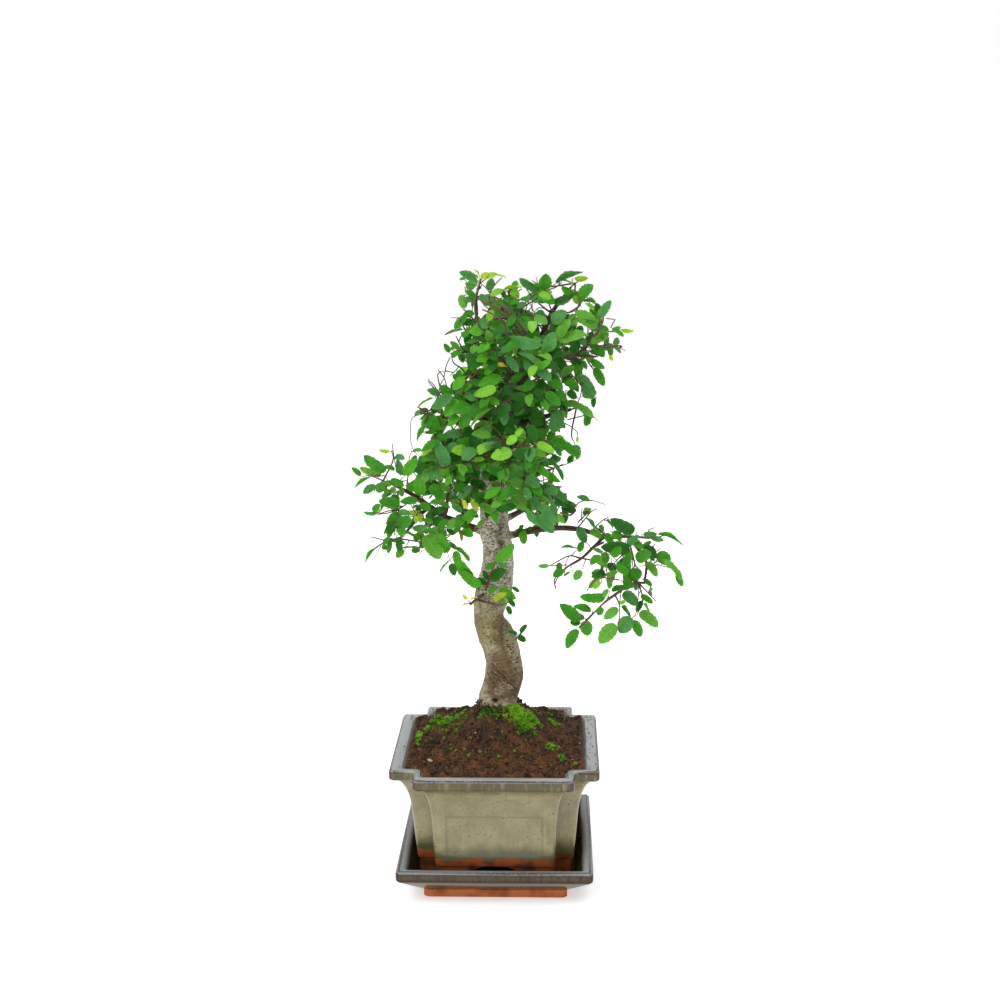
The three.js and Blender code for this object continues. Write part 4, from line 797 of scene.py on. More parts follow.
def write_marks(mesh: bpy.types.Mesh, marks: dict[str, np.ndarray]) -> None:
    """Stores a number for each vertex under each name, for a material to read."""
    for name, amount in marks.items():
        mesh.attributes.new(name, "FLOAT", "POINT").data.foreach_set("value", amount)


def pick(piece: bpy.types.Object, kind: str, rule: Callable[[object], bool]) -> None:
    """Enters edit mode with only those parts of a mesh selected that a rule names.

    Args:
        piece: the object, already active.
        kind: VERT, EDGE or FACE.
        rule: tells whether a part is selected.
    """
    bpy.ops.object.mode_set(mode="EDIT")
    bpy.ops.mesh.select_mode(type=kind)
    bpy.ops.mesh.select_all(action="DESELECT")
    shape = bmesh.from_edit_mesh(piece.data)
    for part in {"VERT": shape.verts, "EDGE": shape.edges, "FACE": shape.faces}[kind]:
        part.select = rule(part)
    bmesh.update_edit_mesh(piece.data)


def unit(vector: np.ndarray) -> np.ndarray:
    """A vector's direction, one long."""
    return vector / max(float(np.linalg.norm(vector)), 1e-9)


def turned(vector: np.ndarray, axis: np.ndarray, angle: float) -> np.ndarray:
    """A vector turned about an axis by an angle in radians."""
    c, s = math.cos(angle), math.sin(angle)
    return vector * c + np.cross(axis, vector) * s + axis * float(axis @ vector) * (1 - c)


class Route:
    """A smooth line through points in millimetres, with the same bends as the solids' own."""

    def __init__(self, way: list) -> None:
        """Keeps the points that the line passes."""
        self.way = np.array(way, float)

    def point(self, share: float) -> np.ndarray:
        """The place at a share of the line.

        Args:
            share: from 0 at the start to 1 at the end.

        Returns:
            The point in millimetres.
        """
        way = self.way
        last = len(way) - 1
        place = last * min(max(share, 0.0), 1.0)
        i = min(int(place), last - 1)
        w = place - i
        x1, x2 = way[i], way[i + 1]
        x0 = way[i - 1] if i > 0 else 2 * way[0] - way[1]
        x3 = way[i + 2] if i + 2 <= last else 2 * way[last] - way[last - 1]
        steps = [float(((b - a) ** 2).sum()) ** 0.25 for a, b in ((x0, x1), (x1, x2), (x2, x3))]
        d1 = steps[1] if steps[1] > 1e-4 else 1.0
        d0 = steps[0] if steps[0] > 1e-4 else d1
        d2 = steps[2] if steps[2] > 1e-4 else d1
        t1 = ((x1 - x0) / d0 - (x2 - x0) / (d0 + d1) + (x2 - x1) / d1) * d1
        t2 = ((x2 - x1) / d1 - (x3 - x1) / (d1 + d2) + (x3 - x2) / d2) * d1
        return x1 + t1 * w + (-3 * x1 + 3 * x2 - 2 * t1 - t2) * w**2 + (2 * x1 - 2 * x2 + t1 + t2) * w**3

    def tangent(self, share: float) -> np.ndarray:
        """The direction of the line at a share of it."""
        low, high = max(share - 1e-4, 0.0), min(share + 1e-4, 1.0)
        return unit(self.point(high) - self.point(low))

    def length(self) -> float:
        """The summed length of the straight stretches between its points."""
        return float(np.linalg.norm(np.diff(self.way, axis=0), axis=1).sum())


class Pile:
    """Many small shapes gathered into one mesh, with a colour and a place on its own skin for each vertex."""

    def __init__(self) -> None:
        """Starts with nothing in it."""
        self.places: list[np.ndarray] = []
        self.tints: list[np.ndarray] = []
        self.skins: list[np.ndarray] = []
        self.faces: list[tuple[int, ...]] = []
        self.kinds: list[int] = []
        self.count = 0

    def put(
        self,
        places: np.ndarray,
        faces: list,
        tint: np.ndarray,
        kind: int = 0,
        skin: np.ndarray | None = None,
    ) -> None:
        """Adds one shape.

        Args:
            places: its vertices in millimetres.
            faces: its faces, by its own vertices.
            tint: one linear colour, or one for each vertex.
            kind: which of the piece's materials it takes.
            skin: a place on its own skin for each vertex, for its pattern.
        """
        many = len(places)
        self.places.append(places)
        self.tints.append(np.broadcast_to(tint[..., :3], (many, 3)))
        self.skins.append(np.zeros((many, 2)) if skin is None else skin)
        self.faces.extend(tuple(self.count + i for i in face) for face in faces)
        self.kinds.extend([kind] * len(faces))
        self.count += many

    def build(self, name: str, materials: list[bpy.types.Material]) -> bpy.types.Object:
        """Makes the mesh object, smooth-shaded, with its tint attribute and its UV map."""
        mesh = bpy.data.meshes.new(name)
        mesh.from_pydata((np.concatenate(self.places) * MM).tolist(), [], self.faces)
        tint = mesh.attributes.new("tint", "FLOAT_COLOR", "POINT")
        colours = np.ones((self.count, 4))
        colours[:, :3] = np.concatenate(self.tints)
        tint.data.foreach_set("color", colours.ravel())
        corners = np.empty(len(mesh.loops), int)
        mesh.loops.foreach_get("vertex_index", corners)
        skin = mesh.uv_layers.new(name="skin")
        skin.data.foreach_set("uv", np.concatenate(self.skins)[corners].ravel())
        for material in materials:
            mesh.materials.append(material)
        mesh.polygons.foreach_set("material_index", self.kinds)
        mesh.update()
        piece = bpy.data.objects.new(name, mesh)
        bpy.context.scene.collection.objects.link(piece)
        take(piece)
        bpy.ops.object.shade_smooth_by_angle(angle=math.radians(80))
        return piece


def grown(way: list[tuple[float, ...]]) -> tuple[Route, list[float]]:
    """The line and the radii of the trunk or a bough, from its table."""
    return Route([point[:3] for point in way]), [point[3] for point in way]


def radius_at(radius: list[float], share: float | np.ndarray) -> float | np.ndarray:
    """The radius at a share of a line, from the radii at its points."""
    return np.interp(share * (len(radius) - 1), range(len(radius)), radius)


def tube(
    route: Route,
    radius: list[float],
    sides: int,
    step: float,
    relief: Callable[[np.ndarray, float], np.ndarray] | None = None,
) -> tuple[np.ndarray, list]:
    """A closed tube along a route, round or with ridges.

    Args:
        route: the line that it follows.
        radius: its radius at each of the route's points.
        sides: how many flat sides it has.
        step: the distance between its rings, in millimetres.
        relief: a factor on its radius, for the angles round a ring and the ring's height.

    Returns:
        Its vertices and its faces.
    """
    rings = max(int(route.length() / step), 2)
    side = np.array((0.3, 0.9, 0.2))
    angles = 2 * math.pi * np.arange(sides) / sides
    places, faces = [], []
    for ring in range(rings + 1):
        share = ring / rings
        middle, along = route.point(share), route.tangent(share)
        side = unit(side - along * float(side @ along))
        other = np.cross(along, side)
        reach = radius_at(radius, share)
        if relief:
            reach = reach * relief(angles, middle[2])[:, None]
        circle = np.outer(np.cos(angles), side) + np.outer(np.sin(angles), other)
        places.append(middle + circle * reach)
        base = (ring - 1) * sides
        for k in range(sides if ring else 0):
            after = (k + 1) % sides
            faces.append((base + k, base + after, base + after + sides, base + k + sides))
    faces.append(tuple(reversed(range(sides))))
    faces.append(tuple(rings * sides + k for k in range(sides)))
    return np.concatenate(places), faces


def mark_edges(mesh: bpy.types.Mesh, rim: float) -> None:
    """Writes three attributes of a glazed vessel.

    Args:
        mesh: its mesh, in metres.
        rim: height in millimetres above which its upward faces get a painted reflection of the bright world
            above.

    The attribute thin marks outer edges, where fired glaze runs thin, gathered marks creases, where it gathers,
    and the last marks the top of the rim, where a reflection of the bright world above is painted.
    """
    place, normal = skin_of(mesh)
    ends = np.empty(len(mesh.edges) * 2, int)
    mesh.edges.foreach_get("vertices", ends)
    a, b = ends.reshape(-1, 2).T
    way = place[b] - place[a]
    long = np.maximum(np.linalg.norm(way, axis=1), 1e-9)
    # How far the skin turns in six tenths of a millimetre
    near = 0.6 * MM
    weight = near / np.maximum(long, near) / long
    bend = np.zeros(len(place))
    np.add.at(bend, a, -(way * normal[a]).sum(1) * weight)
    np.add.at(bend, b, (way * normal[b]).sum(1) * weight)
    # Painted reflection of the bright world above, on the rim's upward faces
    sky_reflection = (normal[:, 2] - 0.45) / 0.3 * (place[:, 2] > rim * MM)
    bend = np.where((place[:, 2] < rim * MM) & (bend > 0), 0.0, bend)
    marks = {"thin": ramp(bend, 0.09, 0.21), "gathered": ramp(bend, -0.12, -0.37), "sky_reflection": np.clip(sky_reflection, 0, 1)}
    write_marks(mesh, marks)


# Finishes


@dataclass(frozen=True)
class CeladonGlaze:
    """Iron celadon glaze fired over red stoneware: clear and glossy, brown where thin, dark where it gathers.

    Args:
        name: the material's name.
        clay_top: height in millimetres at which the glaze ends over the bare clay.
        band: height of the dark band in which the glaze has run together above that line.
        rim: height at which the darker rim starts.
        runs: how strongly dark runs show in the glaze.
        wave: by how many millimetres its end could wander over the clay.
        gloss: its specular level.
        panel: half width, middle height and half height of the shallow panel pressed in each wall.
    """

    name: str
    clay_top: float
    band: float
    rim: float
    runs: float = 0.16
    wave: float = 12.0
    gloss: float = 0.42
    panel: tuple[float, float, float] = (34.2, 52.5, 13.9)
    body: str = "#7d7453"
    light: str = "#8c8461"
    deep: str = "#47462f"
    # The rim's darker glaze, also painted as the rim's shadow on the wall under it
    rim_face: str = "#4b4125"
    # Painted reflection on the rim's top
    sky_reflection: str = "#a3a7a7"
    edge: str = "#3f211a"
    brown: str = "#44321d"
    speck: str = "#31251a"
    clay: str = "#85400f"
    clay_dark: str = "#3a1a08"

    def material(self) -> bpy.types.Material:
        """Makes the node material, with the bare clay of the foot below clay_top."""
        material, tree, shader = new_material(self.name)
        place = add(tree, "TexCoord", out="Object")
        parts = add(tree, "SeparateXYZ", {0: place}).node.outputs
        height = parts["Z"]
        # How far a point lies past the edge of its wall's panel: each wall is crossed by the smaller of X and Y
        half, middle, rise = (size * MM for size in self.panel)
        x, y = (add(tree, "Math", {0: parts[way]}, operation="ABSOLUTE") for way in "XY")
        across = add(tree, "Math", {0: x, 1: y}, operation="MINIMUM")
        across = add(tree, "Math", {0: across, 1: half - rise}, operation="SUBTRACT")
        above = add(tree, "Math", {0: height, 1: middle}, operation="SUBTRACT")
        above = add(tree, "Math", {0: above}, operation="ABSOLUTE")
        past = add(tree, "Math", {0: across, 1: above, 2: 3 * MM}, operation="SMOOTH_MAX")
        past = add(tree, "Math", {0: past, 1: rise}, operation="SUBTRACT")
        off = add(tree, "Math", {0: past}, operation="ABSOLUTE")
        drawn = add(tree, "Mapping", {"Vector": place, "Scale": (1, 1, 0.12)})
        cloud = add(tree, "TexNoise", {"Vector": place, "Scale": 70, "Detail": 4})
        fine = add(tree, "TexNoise", {"Vector": place, "Scale": 620, "Detail": 3})
        streak = add(tree, "TexNoise", {"Vector": drawn, "Scale": 300, "Detail": 3})
        # Iron specks about half a millimetre across, some 3 mm apart
        spots = add(tree, "TexVoronoi", {"Vector": place, "Scale": 330})
        wavy = {0: cloud, 1: self.wave * MM, 2: height}
        wavy = add(tree, "Math", wavy, operation="MULTIPLY_ADD")
        marks = ("thin", "gathered", "sky_reflection")
        share = {name: add(tree, "Attribute", out="Fac", attribute_name=name) for name in marks}
        end = self.clay_top + self.wave / 2
        # Each share runs from one amount to another as its pattern or height goes from one bound to the other
        spans = {
            "cloudy": (cloud, 0.38, 0.62, 0.0, 1.0),
            "framed": (off, 1.5 * MM, 0.2 * MM, 0.0, 0.3),
            "rim": (height, (self.rim - 0.4) * MM, (self.rim + 0.4) * MM, 0.0, 0.92),
            # Painted shadow of the rim on the wall, from 5 mm under it up to it
            "rim_shadow_ramp": (height, (self.rim - 5) * MM, (self.rim - 3) * MM, 0.0, 0.45),
            "run": (streak, 0.46, 0.7, 0.0, 1.0),
            "thinned": (streak, 0.48, 0.3, 0.0, 0.7),
            "browned": (cloud, 0.5, 0.62, 0.0, 0.5),
            "mottled": (fine, 0.55, 0.7, 0.0, 0.4),
            # Painted reflection over the rim's top
            "lit": (share["sky_reflection"], 0.0, 1.0, 0.0, 0.85),
            "low": (wavy, (end + self.band) * MM, (end + 0.3 * self.band) * MM, 0.0, 0.85),
            "ragged": (fine, 0.3, 0.55, 0.4, 1.2),
            "dot": (spots, 0.2, 0.1, 0.0, 1.0),
            "field": (cloud, 0.47, 0.56, 0.0, 1.0),
            "bare": (wavy, (end + 0.2) * MM, (end - 0.2) * MM, 0.0, 1.0),
            "burnt": (cloud, 0.46, 0.62, 0.0, 0.9),
        }
        for name, (value, low, high, least, most) in spans.items():
            links = {"Value": value, "From Min": low, "From Max": high, "To Min": least, "To Max": most}
            share[name] = add(tree, "MapRange", links)
        for name, way, a, b, c in (
            # The first mix is the painted shadow under the rim
            ("shadow_under_rim", "SUBTRACT", share["rim_shadow_ramp"], share["rim"], 0.0),
            ("strength", "MULTIPLY_ADD", share["rim"], 0.7, self.runs),
            ("streaked", "MULTIPLY", "strength", share["run"], 0.0),
            ("pale_run", "MULTIPLY", share["rim"], share["thinned"], 0.0),
            ("brown_run", "MULTIPLY", share["rim"], share["browned"], 0.0),
            ("pooled", "MAXIMUM", share["low"], share["gathered"], 0.0),
            ("worn", "MULTIPLY", share["thin"], share["ragged"], 0.0),
            ("specked", "MULTIPLY", share["dot"], share["field"], 0.0),
        ):
            links = {0: share[a] if isinstance(a, str) else a, 1: b, 2: c}
            share[name] = add(tree, "Math", links, operation=way, use_clamp=True)
        colour = linear(self.body)
        for name, code in (
            ("cloudy", self.light), ("framed", self.deep), ("rim", self.rim_face), ("shadow_under_rim", self.rim_face),
            ("streaked", self.deep), ("pale_run", self.light), ("brown_run", self.brown),
            ("mottled", self.deep), ("lit", self.sky_reflection), ("pooled", self.deep), ("worn", self.edge),
            ("specked", self.speck),
        ):
            mix = {0: share[name], 6: colour, 7: linear(code)}
            colour = add(tree, "Mix", mix, out=2, data_type="RGBA")
        clay = {0: share["burnt"], 6: linear(self.clay), 7: linear(self.clay_dark)}
        clay = add(tree, "Mix", clay, out=2, data_type="RGBA")
        colour = add(tree, "Mix", {0: share["bare"], 6: colour, 7: clay}, out=2, data_type="RGBA")
        rough = add(tree, "MapRange", {"Value": share["bare"], "To Min": 0.14, "To Max": 0.75})
        bump = add(tree, "Bump", {"Height": fine, "Strength": 0.25, "Distance": 0.2 * MM})
        feed(shader, {"Base Color": colour, "Roughness": rough, "Normal": bump})
        feed(shader, {"IOR": 1.52, "Specular IOR Level": self.gloss})
        return material


@dataclass(frozen=True)
class SmoothBark:
    """Young elm-family bark: thin, grey-beige, with reddish-brown lenticels across it, an olive film of algae
    and painted shade.
    """

    name: str = "smooth_bark"
    pale: str = "#b0a88c"
    grey: str = "#776e50"
    silver: str = "#c9c4b4"
    olive: str = "#7a7741"
    tan: str = "#5c441f"
    blotch: str = "#63502e"
    # Reddish brown, also painted as shade on the right of the lower trunk
    rust_and_shade: str = "#643a22"
    # Lenticel dashes, and the painted shade of the hole, folds and foot
    dark: str = "#2f1c0d"
    bough: str = "#3f2b1a"

    def material(self) -> bpy.types.Material:
        """Makes the node material from the trunk's own attributes and noise."""
        material, tree, shader = new_material(self.name)
        place = add(tree, "TexCoord", out="Object")
        flat = add(tree, "Mapping", {"Vector": place, "Scale": (1, 1, 1.9)})
        part = {}
        patterns = (("cloud", place, 85), ("bands", flat, 210), ("mottle", flat, 330), ("fine", flat, 700))
        for name, vector, scale in patterns:
            part[name] = add(tree, "TexNoise", {"Vector": vector, "Scale": scale, "Detail": 4})
        # Lenticels: corky dots one to two millimetres wide, every 3 mm
        part["spots"] = add(tree, "TexVoronoi", {"Vector": flat, "Scale": 340})
        for name in ("silver", "olive", "tan", "rust_and_shade", "corky", "bough", "shade_and_stain"):
            part[name] = add(tree, "Attribute", out="Fac", attribute_name=name)
        # Each share grows to its most as its pattern goes from one bound to the other, times another share
        for name, pattern, low, high, most, over in (
            ("spread", "cloud", 0.4, 0.58, 1.0, ""),
            ("silvery", "bands", 0.34, 0.56, 0.9, "silver"),
            ("blotched", "mottle", 0.52, 0.6, 0.55, "corky"),
            ("reddish", "bands", 0.35, 0.6, 1.0, "rust_and_shade"),
            ("patchy", "bands", 0.38, 0.48, 1.0, "corky"),
            ("dashes", "spots", 0.4, 0.27, 0.9, "patchy"),
            ("grit", "fine", 0.5, 0.66, 0.6, ""),
        ):
            links = {"Value": part[pattern], "From Min": low, "From Max": high, "To Max": most}
            part[name] = add(tree, "MapRange", links)
            if over:
                links = {0: part[name], 1: part[over]}
                part[name] = add(tree, "Math", links, operation="MULTIPLY")
        colour = linear(self.grey)
        for name, code in (
            ("spread", self.pale), ("silvery", self.silver), ("olive", self.olive), ("tan", self.tan),
            ("blotched", self.blotch), ("reddish", self.rust_and_shade), ("dashes", self.dark), ("grit", self.tan),
            # the last mix paints shade into the knot hole, folds and foot, with a stain under the crown
            ("bough", self.bough), ("shade_and_stain", self.dark),
        ):
            mix = {0: part[name], 6: colour, 7: linear(code)}
            colour = add(tree, "Mix", mix, out=2, data_type="RGBA")
        relief = {0: part["fine"], 1: 0.7, 2: part["dashes"]}
        relief = add(tree, "Math", relief, operation="MULTIPLY_ADD")
        bump = add(tree, "Bump", {"Height": relief, "Strength": 0.8, "Distance": 0.6 * MM})
        feed(shader, {"Base Color": colour, "Roughness": 0.68, "Normal": bump})
        return material


@dataclass(frozen=True)
class LeafSkin:
    """A leaf's waxy upper and dull lower skin, with a pale midrib and side veins drawn on its own UV map."""

    name: str = "leaf_skin"
    vein: float = 0.35

    def material(self) -> bpy.types.Material:
        """Makes the node material; u runs across the blade from 0 to 1, v from base to tip."""
        material, tree, shader = new_material(self.name)
        tint = add(tree, "Attribute", out="Color", attribute_name="tint")
        skin = add(tree, "UVMap", uv_map="skin")
        parts = add(tree, "SeparateXYZ", {0: skin}).node.outputs
        side = add(tree, "Math", {0: parts["X"], 1: 0.5}, operation="SUBTRACT")
        side = add(tree, "Math", {0: side}, operation="ABSOLUTE")
        rib = add(tree, "MapRange", {"Value": side, "From Min": 0.035, "From Max": 0.0})
        # Side veins climb away from the midrib, seven on each side
        climb = add(tree, "Math", {0: side, 1: -0.75, 2: parts["Y"]}, operation="MULTIPLY_ADD")
        wave = add(tree, "Math", {0: climb, 1: 44.0}, operation="MULTIPLY")
        wave = add(tree, "Math", {0: wave}, operation="SINE")
        veins = add(tree, "MapRange", {"Value": wave, "From Min": 0.55, "From Max": 1.0, "To Max": 0.55})
        lines = add(tree, "Math", {0: rib, 1: veins}, operation="MAXIMUM")
        pale = add(tree, "Math", {0: lines, 1: self.vein}, operation="MULTIPLY")
        light = add(tree, "HueSaturation", {"Color": tint, "Hue": 0.49, "Saturation": 0.85, "Value": 1.7})
        place = add(tree, "TexCoord", out="Object")
        cloud = add(tree, "TexNoise", {"Vector": place, "Scale": 260, "Detail": 3})
        shade = {"Value": cloud, "From Min": 0.3, "From Max": 0.7, "To Min": 0.82, "To Max": 1.15}
        shade = add(tree, "MapRange", shade)
        varied = add(tree, "HueSaturation", {"Color": tint, "Value": shade})
        colour = add(tree, "Mix", {0: pale, 6: varied, 7: light}, out=2, data_type="RGBA")
        bump = add(tree, "Bump", {"Height": lines, "Strength": 0.5, "Distance": 0.3 * MM}, invert=True)
        feed(shader, {
            "Base Color": colour, "Normal": bump, "Roughness": 0.5, "Specular IOR Level": 0.18,
            "Subsurface Weight": 0.12, "Subsurface Scale": 2 * MM, "Subsurface Radius": (0.4, 1.0, 0.2),
        })
        return material


@dataclass(frozen=True)
class TintedGrain:
    """A dull natural surface whose colour comes with its mesh, broken up by a fine grain."""

    name: str
    grain: float
    rough: float
    contrast: float = 0.3

    def material(self) -> bpy.types.Material:
        """Makes the node material; grain is the size of its pattern in millimetres."""
        material, tree, shader = new_material(self.name)
        tint = add(tree, "Attribute", out="Color", attribute_name="tint")
        place = add(tree, "TexCoord", out="Object")
        noise_at = add(tree, "TexNoise", {"Vector": place, "Scale": 1 / (self.grain * MM), "Detail": 5})
        low, high = 1 - self.contrast, 1 + self.contrast
        shade = {"Value": noise_at, "From Min": 0.3, "From Max": 0.7, "To Min": low, "To Max": high}
        shade = add(tree, "MapRange", shade)
        colour = add(tree, "HueSaturation", {"Color": tint, "Value": shade})
        bump = {"Height": noise_at, "Strength": 0.7, "Distance": self.grain * MM * 0.4}
        feed(shader, {"Base Color": colour, "Normal": add(tree, "Bump", bump), "Roughness": self.rough})
        return material


# Ceramics


@dataclass
class Ware:
    """A pressed clay vessel, drawn up from a plan in rings.

    Args:
        name: the piece's name.
        levels: height, half width and corner notch of each ring, from inside the foot to the floor.
        cells: how many cells its plan has along one side.
        corner: radius of its upright corners.
        lip: radius of its other edges.
        rim: height of the underside of its rim.
        hidden: half width, lowest and greatest height of the space inside the foot that no one sees.
        merge: how near to each other vertices are merged there.
    """

    name: str
    levels: list[tuple[float, float, float]]
    cells: int
    corner: float
    lip: float
    rim: float
    hidden: tuple[float, float, float] = (34, 25, 33.5)
    merge: float = 0.12

    def plan(self, across: float, up: float, half: float, notch: float) -> tuple[float, float]:
        """Moves a point of the unit plan to its place on a ring."""
        inner = 1 - 2 / self.cells
        flat = half - notch

        def place(t: float) -> float:
            """One coordinate, scaled up to the notch and then out to the side."""
            size = abs(t)
            if notch <= 0:
                return t * half
            reach = flat * size / inner if size <= inner + 1e-6 else flat + notch * (size - inner) / (1 - inner)
            return math.copysign(reach, t)

        return place(across), place(up)

    def shape(self) -> bpy.types.Object:
        """Extrudes the plan's edge through every level and closes the floor."""
        deselect()
        first, *rest = self.levels
        bpy.ops.mesh.primitive_grid_add(x_subdivisions=self.cells, y_subdivisions=self.cells, size=2)
        piece = bpy.context.object
        piece.name = piece.data.name = self.name
        bpy.ops.object.mode_set(mode="EDIT")
        bpy.ops.mesh.select_mode(type="VERT")
        bpy.ops.mesh.select_all(action="DESELECT")
        shape = bmesh.from_edit_mesh(piece.data)
        if first[2] > 0:
            inner = 1 - 2 / self.cells - 9e-4
            spots = [(face, face.calc_center_median()) for face in shape.faces]
            gone = [face for face, spot in spots if min(abs(spot.x), abs(spot.y)) > inner]
            bmesh.ops.delete(shape, geom=gone, context="FACES")
        unit_place = {}
        for vertex in shape.verts:
            unit_place[vertex.index] = (vertex.co.x, vertex.co.y)
            x, y = self.plan(vertex.co.x, vertex.co.y, first[1], first[2])
            vertex.co = (x * MM, y * MM, first[0] * MM)
        shape.verts.ensure_lookup_table()
        border = [vertex for vertex in shape.verts if any(edge.is_boundary for edge in vertex.link_edges)]
        places = {}
        for vertex in border:
            places[tuple(round(c, 7) for c in vertex.co)] = unit_place[vertex.index]
        for edge in shape.edges:
            edge.select = edge.is_boundary
        bmesh.update_edit_mesh(piece.data)
        bpy.ops.mesh.select_mode(type="EDGE")
        for height, half, notch in rest:
            bpy.ops.mesh.extrude_edges_move()
            shape = bmesh.from_edit_mesh(piece.data)
            moved = {}
            for vertex in [v for v in shape.verts if v.select]:
                spot = places[tuple(round(c, 7) for c in vertex.co)]
                x, y = self.plan(*spot, half, notch)
                vertex.co = (x * MM, y * MM, height * MM)
                moved[tuple(round(c, 7) for c in vertex.co)] = spot
            places = moved
            bmesh.update_edit_mesh(piece.data)
        bpy.ops.mesh.edge_face_add()
        bpy.ops.mesh.select_all(action="SELECT")
        bpy.ops.mesh.normals_make_consistent(inside=False)
        self.round_corners(piece)
        bpy.ops.object.mode_set(mode="OBJECT")
        return piece

    def round_corners(self, piece: bpy.types.Object) -> None:
        """Bevels the upright edges where two faces meet sharply."""

        def sharp(edge: bmesh.types.BMEdge) -> bool:
            """Whether an edge runs up the vessel between two walls that meet at an angle."""
            a, b = (vertex.co for vertex in edge.verts)
            walls = [face for face in edge.link_faces if abs(face.normal.z) < 0.95]
            return len(walls) == 2 and abs((b - a).normalized().z) > 0.25 and edge.calc_face_angle(0.0) > 0.7

        pick(piece, "EDGE", sharp)
        bpy.ops.mesh.bevel(offset=self.corner * MM, segments=3, profile=0.5, clamp_overlap=True)

    def close_slivers(self, piece: bpy.types.Object) -> None:
        """Merges the ends of the slivers that the bevel leaves round the drain hole, inside the foot."""
        out, low, high = self.hidden

        def inside_foot(vertex: bmesh.types.BMVert) -> bool:
            """Whether a vertex lies where the foot hides it."""
            x, y, z = (abs(c) / MM for c in vertex.co)
            return max(x, y) < out and low < z < high

        pick(piece, "VERT", inside_foot)
        bpy.ops.mesh.remove_doubles(threshold=self.merge * MM)
        bpy.ops.object.mode_set(mode="OBJECT")

    def finish(
        self,
        piece: bpy.types.Object,
        cutters: list[bpy.types.Object],
        material: bpy.types.Material,
    ) -> None:
        """Cuts openings, softens the sharp edges that are left and dresses the piece.

        Args:
            piece: the shaped vessel.
            cutters: the solids to cut from it, which are then removed.
            material: its glaze.
        """
        for cutter in cutters:
            cut = piece.modifiers.new("cut", "BOOLEAN")
            cut.operation = "DIFFERENCE"
            cut.solver = "EXACT"
            cut.object = cutter
        soft = piece.modifiers.new("soft", "BEVEL")
        soft.width = self.lip * MM
        soft.segments = 4
        soft.limit_method = "ANGLE"
        soft.angle_limit = math.radians(32)
        soft.use_clamp_overlap = True
        apply_all(piece)
        for cutter in cutters:
            bpy.data.objects.remove(cutter)
        take(piece)
        self.close_slivers(piece)
        bpy.ops.object.shade_smooth_by_angle(angle=math.radians(40))
        mark_edges(piece.data, self.rim)
        piece.data.materials.clear()
        piece.data.materials.append(material)


@dataclass
class Pot(Ware):
    """The square pot with a step out of each corner, a low foot with an arch in each side and a flat rim.

    Args:
        arch_half: half width of the arches.
        arch_height: how far they rise from their middle, which lies at the height of the saucer's floor.
        drain: radius of the drain hole.
        panel_half: half width of the panel in each wall.
        panel_low: height from which the panel's faces are taken.
        panel_high: height up to which they are taken.
        wall: how far out an outer wall lies at least.
        inset: width of the panel's slanting border.
        pressed: how deep the panel lies.
    """

    name: str = "glazed_pot"
    levels: list[tuple[float, float, float]] = field(
        default_factory=lambda: [
            (26, 45, 13.5), (12.4, 45, 13.5), (12.4, 54.5, 13.5), (19, 54.9, 13.5), (26, 55.6, 13.5),
            (26.8, 56.7, 13.9), (31, 57.1, 14), (38, 57.8, 14.3), (45, 58.4, 14.5), (53, 59, 14.8),
            (60, 59.6, 15), (67, 60.3, 15.3), (73, 61.3, 15.6), (78, 62.6, 16), (83, 64.5, 16.5),
            (87, 66.8, 17.1), (90, 69.2, 17.6), (91.2, 70.6, 18), (92, 74, 18), (93.2, 75, 18),
            (94.2, 75, 18), (97.2, 75, 18), (98.4, 75, 18), (99.4, 74.1, 17.7), (99.8, 72.9, 17.3),
            (100, 71.6, 16.8), (99.9, 68.6, 15.6), (99.2, 66.2, 14.2), (97.8, 65, 13.4), (96, 62.8, 13.5),
            (84, 58.8, 16), (60, 54.2, 15), (33, 50.5, 13),
        ]
    )
    cells: int = 12
    corner: float = 2.8
    lip: float = 0.8
    rim: float = 92.4
    arch_half: float = 23
    arch_height: float = 14.6
    drain: float = 8
    panel_half: float = 34.8
    panel_low: float = 38
    panel_high: float = 67
    wall: float = 57
    inset: float = 1.2
    pressed: float = 0.45

    def press_panels(self, piece: bpy.types.Object) -> None:
        """Presses a shallow panel into the outside of each wall, as its mould does."""

        def on_panel(face: bmesh.types.BMFace) -> bool:
            """Whether a face lies on the panel of an outer wall."""
            x, y, z = (c / MM for c in face.calc_center_median())
            along, out = sorted((abs(x), abs(y)))
            return along < self.panel_half and self.panel_low < z < self.panel_high and out > self.wall

        pick(piece, "FACE", on_panel)
        bpy.ops.mesh.inset(thickness=self.inset * MM, depth=-self.pressed * MM)
        bpy.ops.object.mode_set(mode="OBJECT")

    def build(self) -> bpy.types.Object:
        """Shapes, cuts and dresses the pot."""
        piece = self.shape()
        self.press_panels(piece)
        cutters = []
        for turn in (0.0, math.pi / 2):
            deselect()
            bpy.ops.mesh.primitive_cylinder_add(vertices=40, radius=1, depth=0.2, location=(0, 0, 12.3 * MM))
            arch = bpy.context.object
            arch.rotation_euler = (math.pi / 2, 0, turn)
            arch.scale = (self.arch_half * MM, self.arch_height * MM, 1)
            bpy.ops.object.transform_apply(location=True, rotation=True, scale=True)
            cutters.append(arch)
        middle = (0, 0, 30 * MM)
        bpy.ops.mesh.primitive_cylinder_add(vertices=24, radius=self.drain * MM, depth=40 * MM, location=middle)
        cutters.append(bpy.context.object)
        glaze = CeladonGlaze("celadon_glaze", clay_top=32.0, band=12, rim=self.rim)
        self.finish(piece, cutters, glaze.material())
        settle(piece, "root", "pot_glaze", "pot")
        return piece


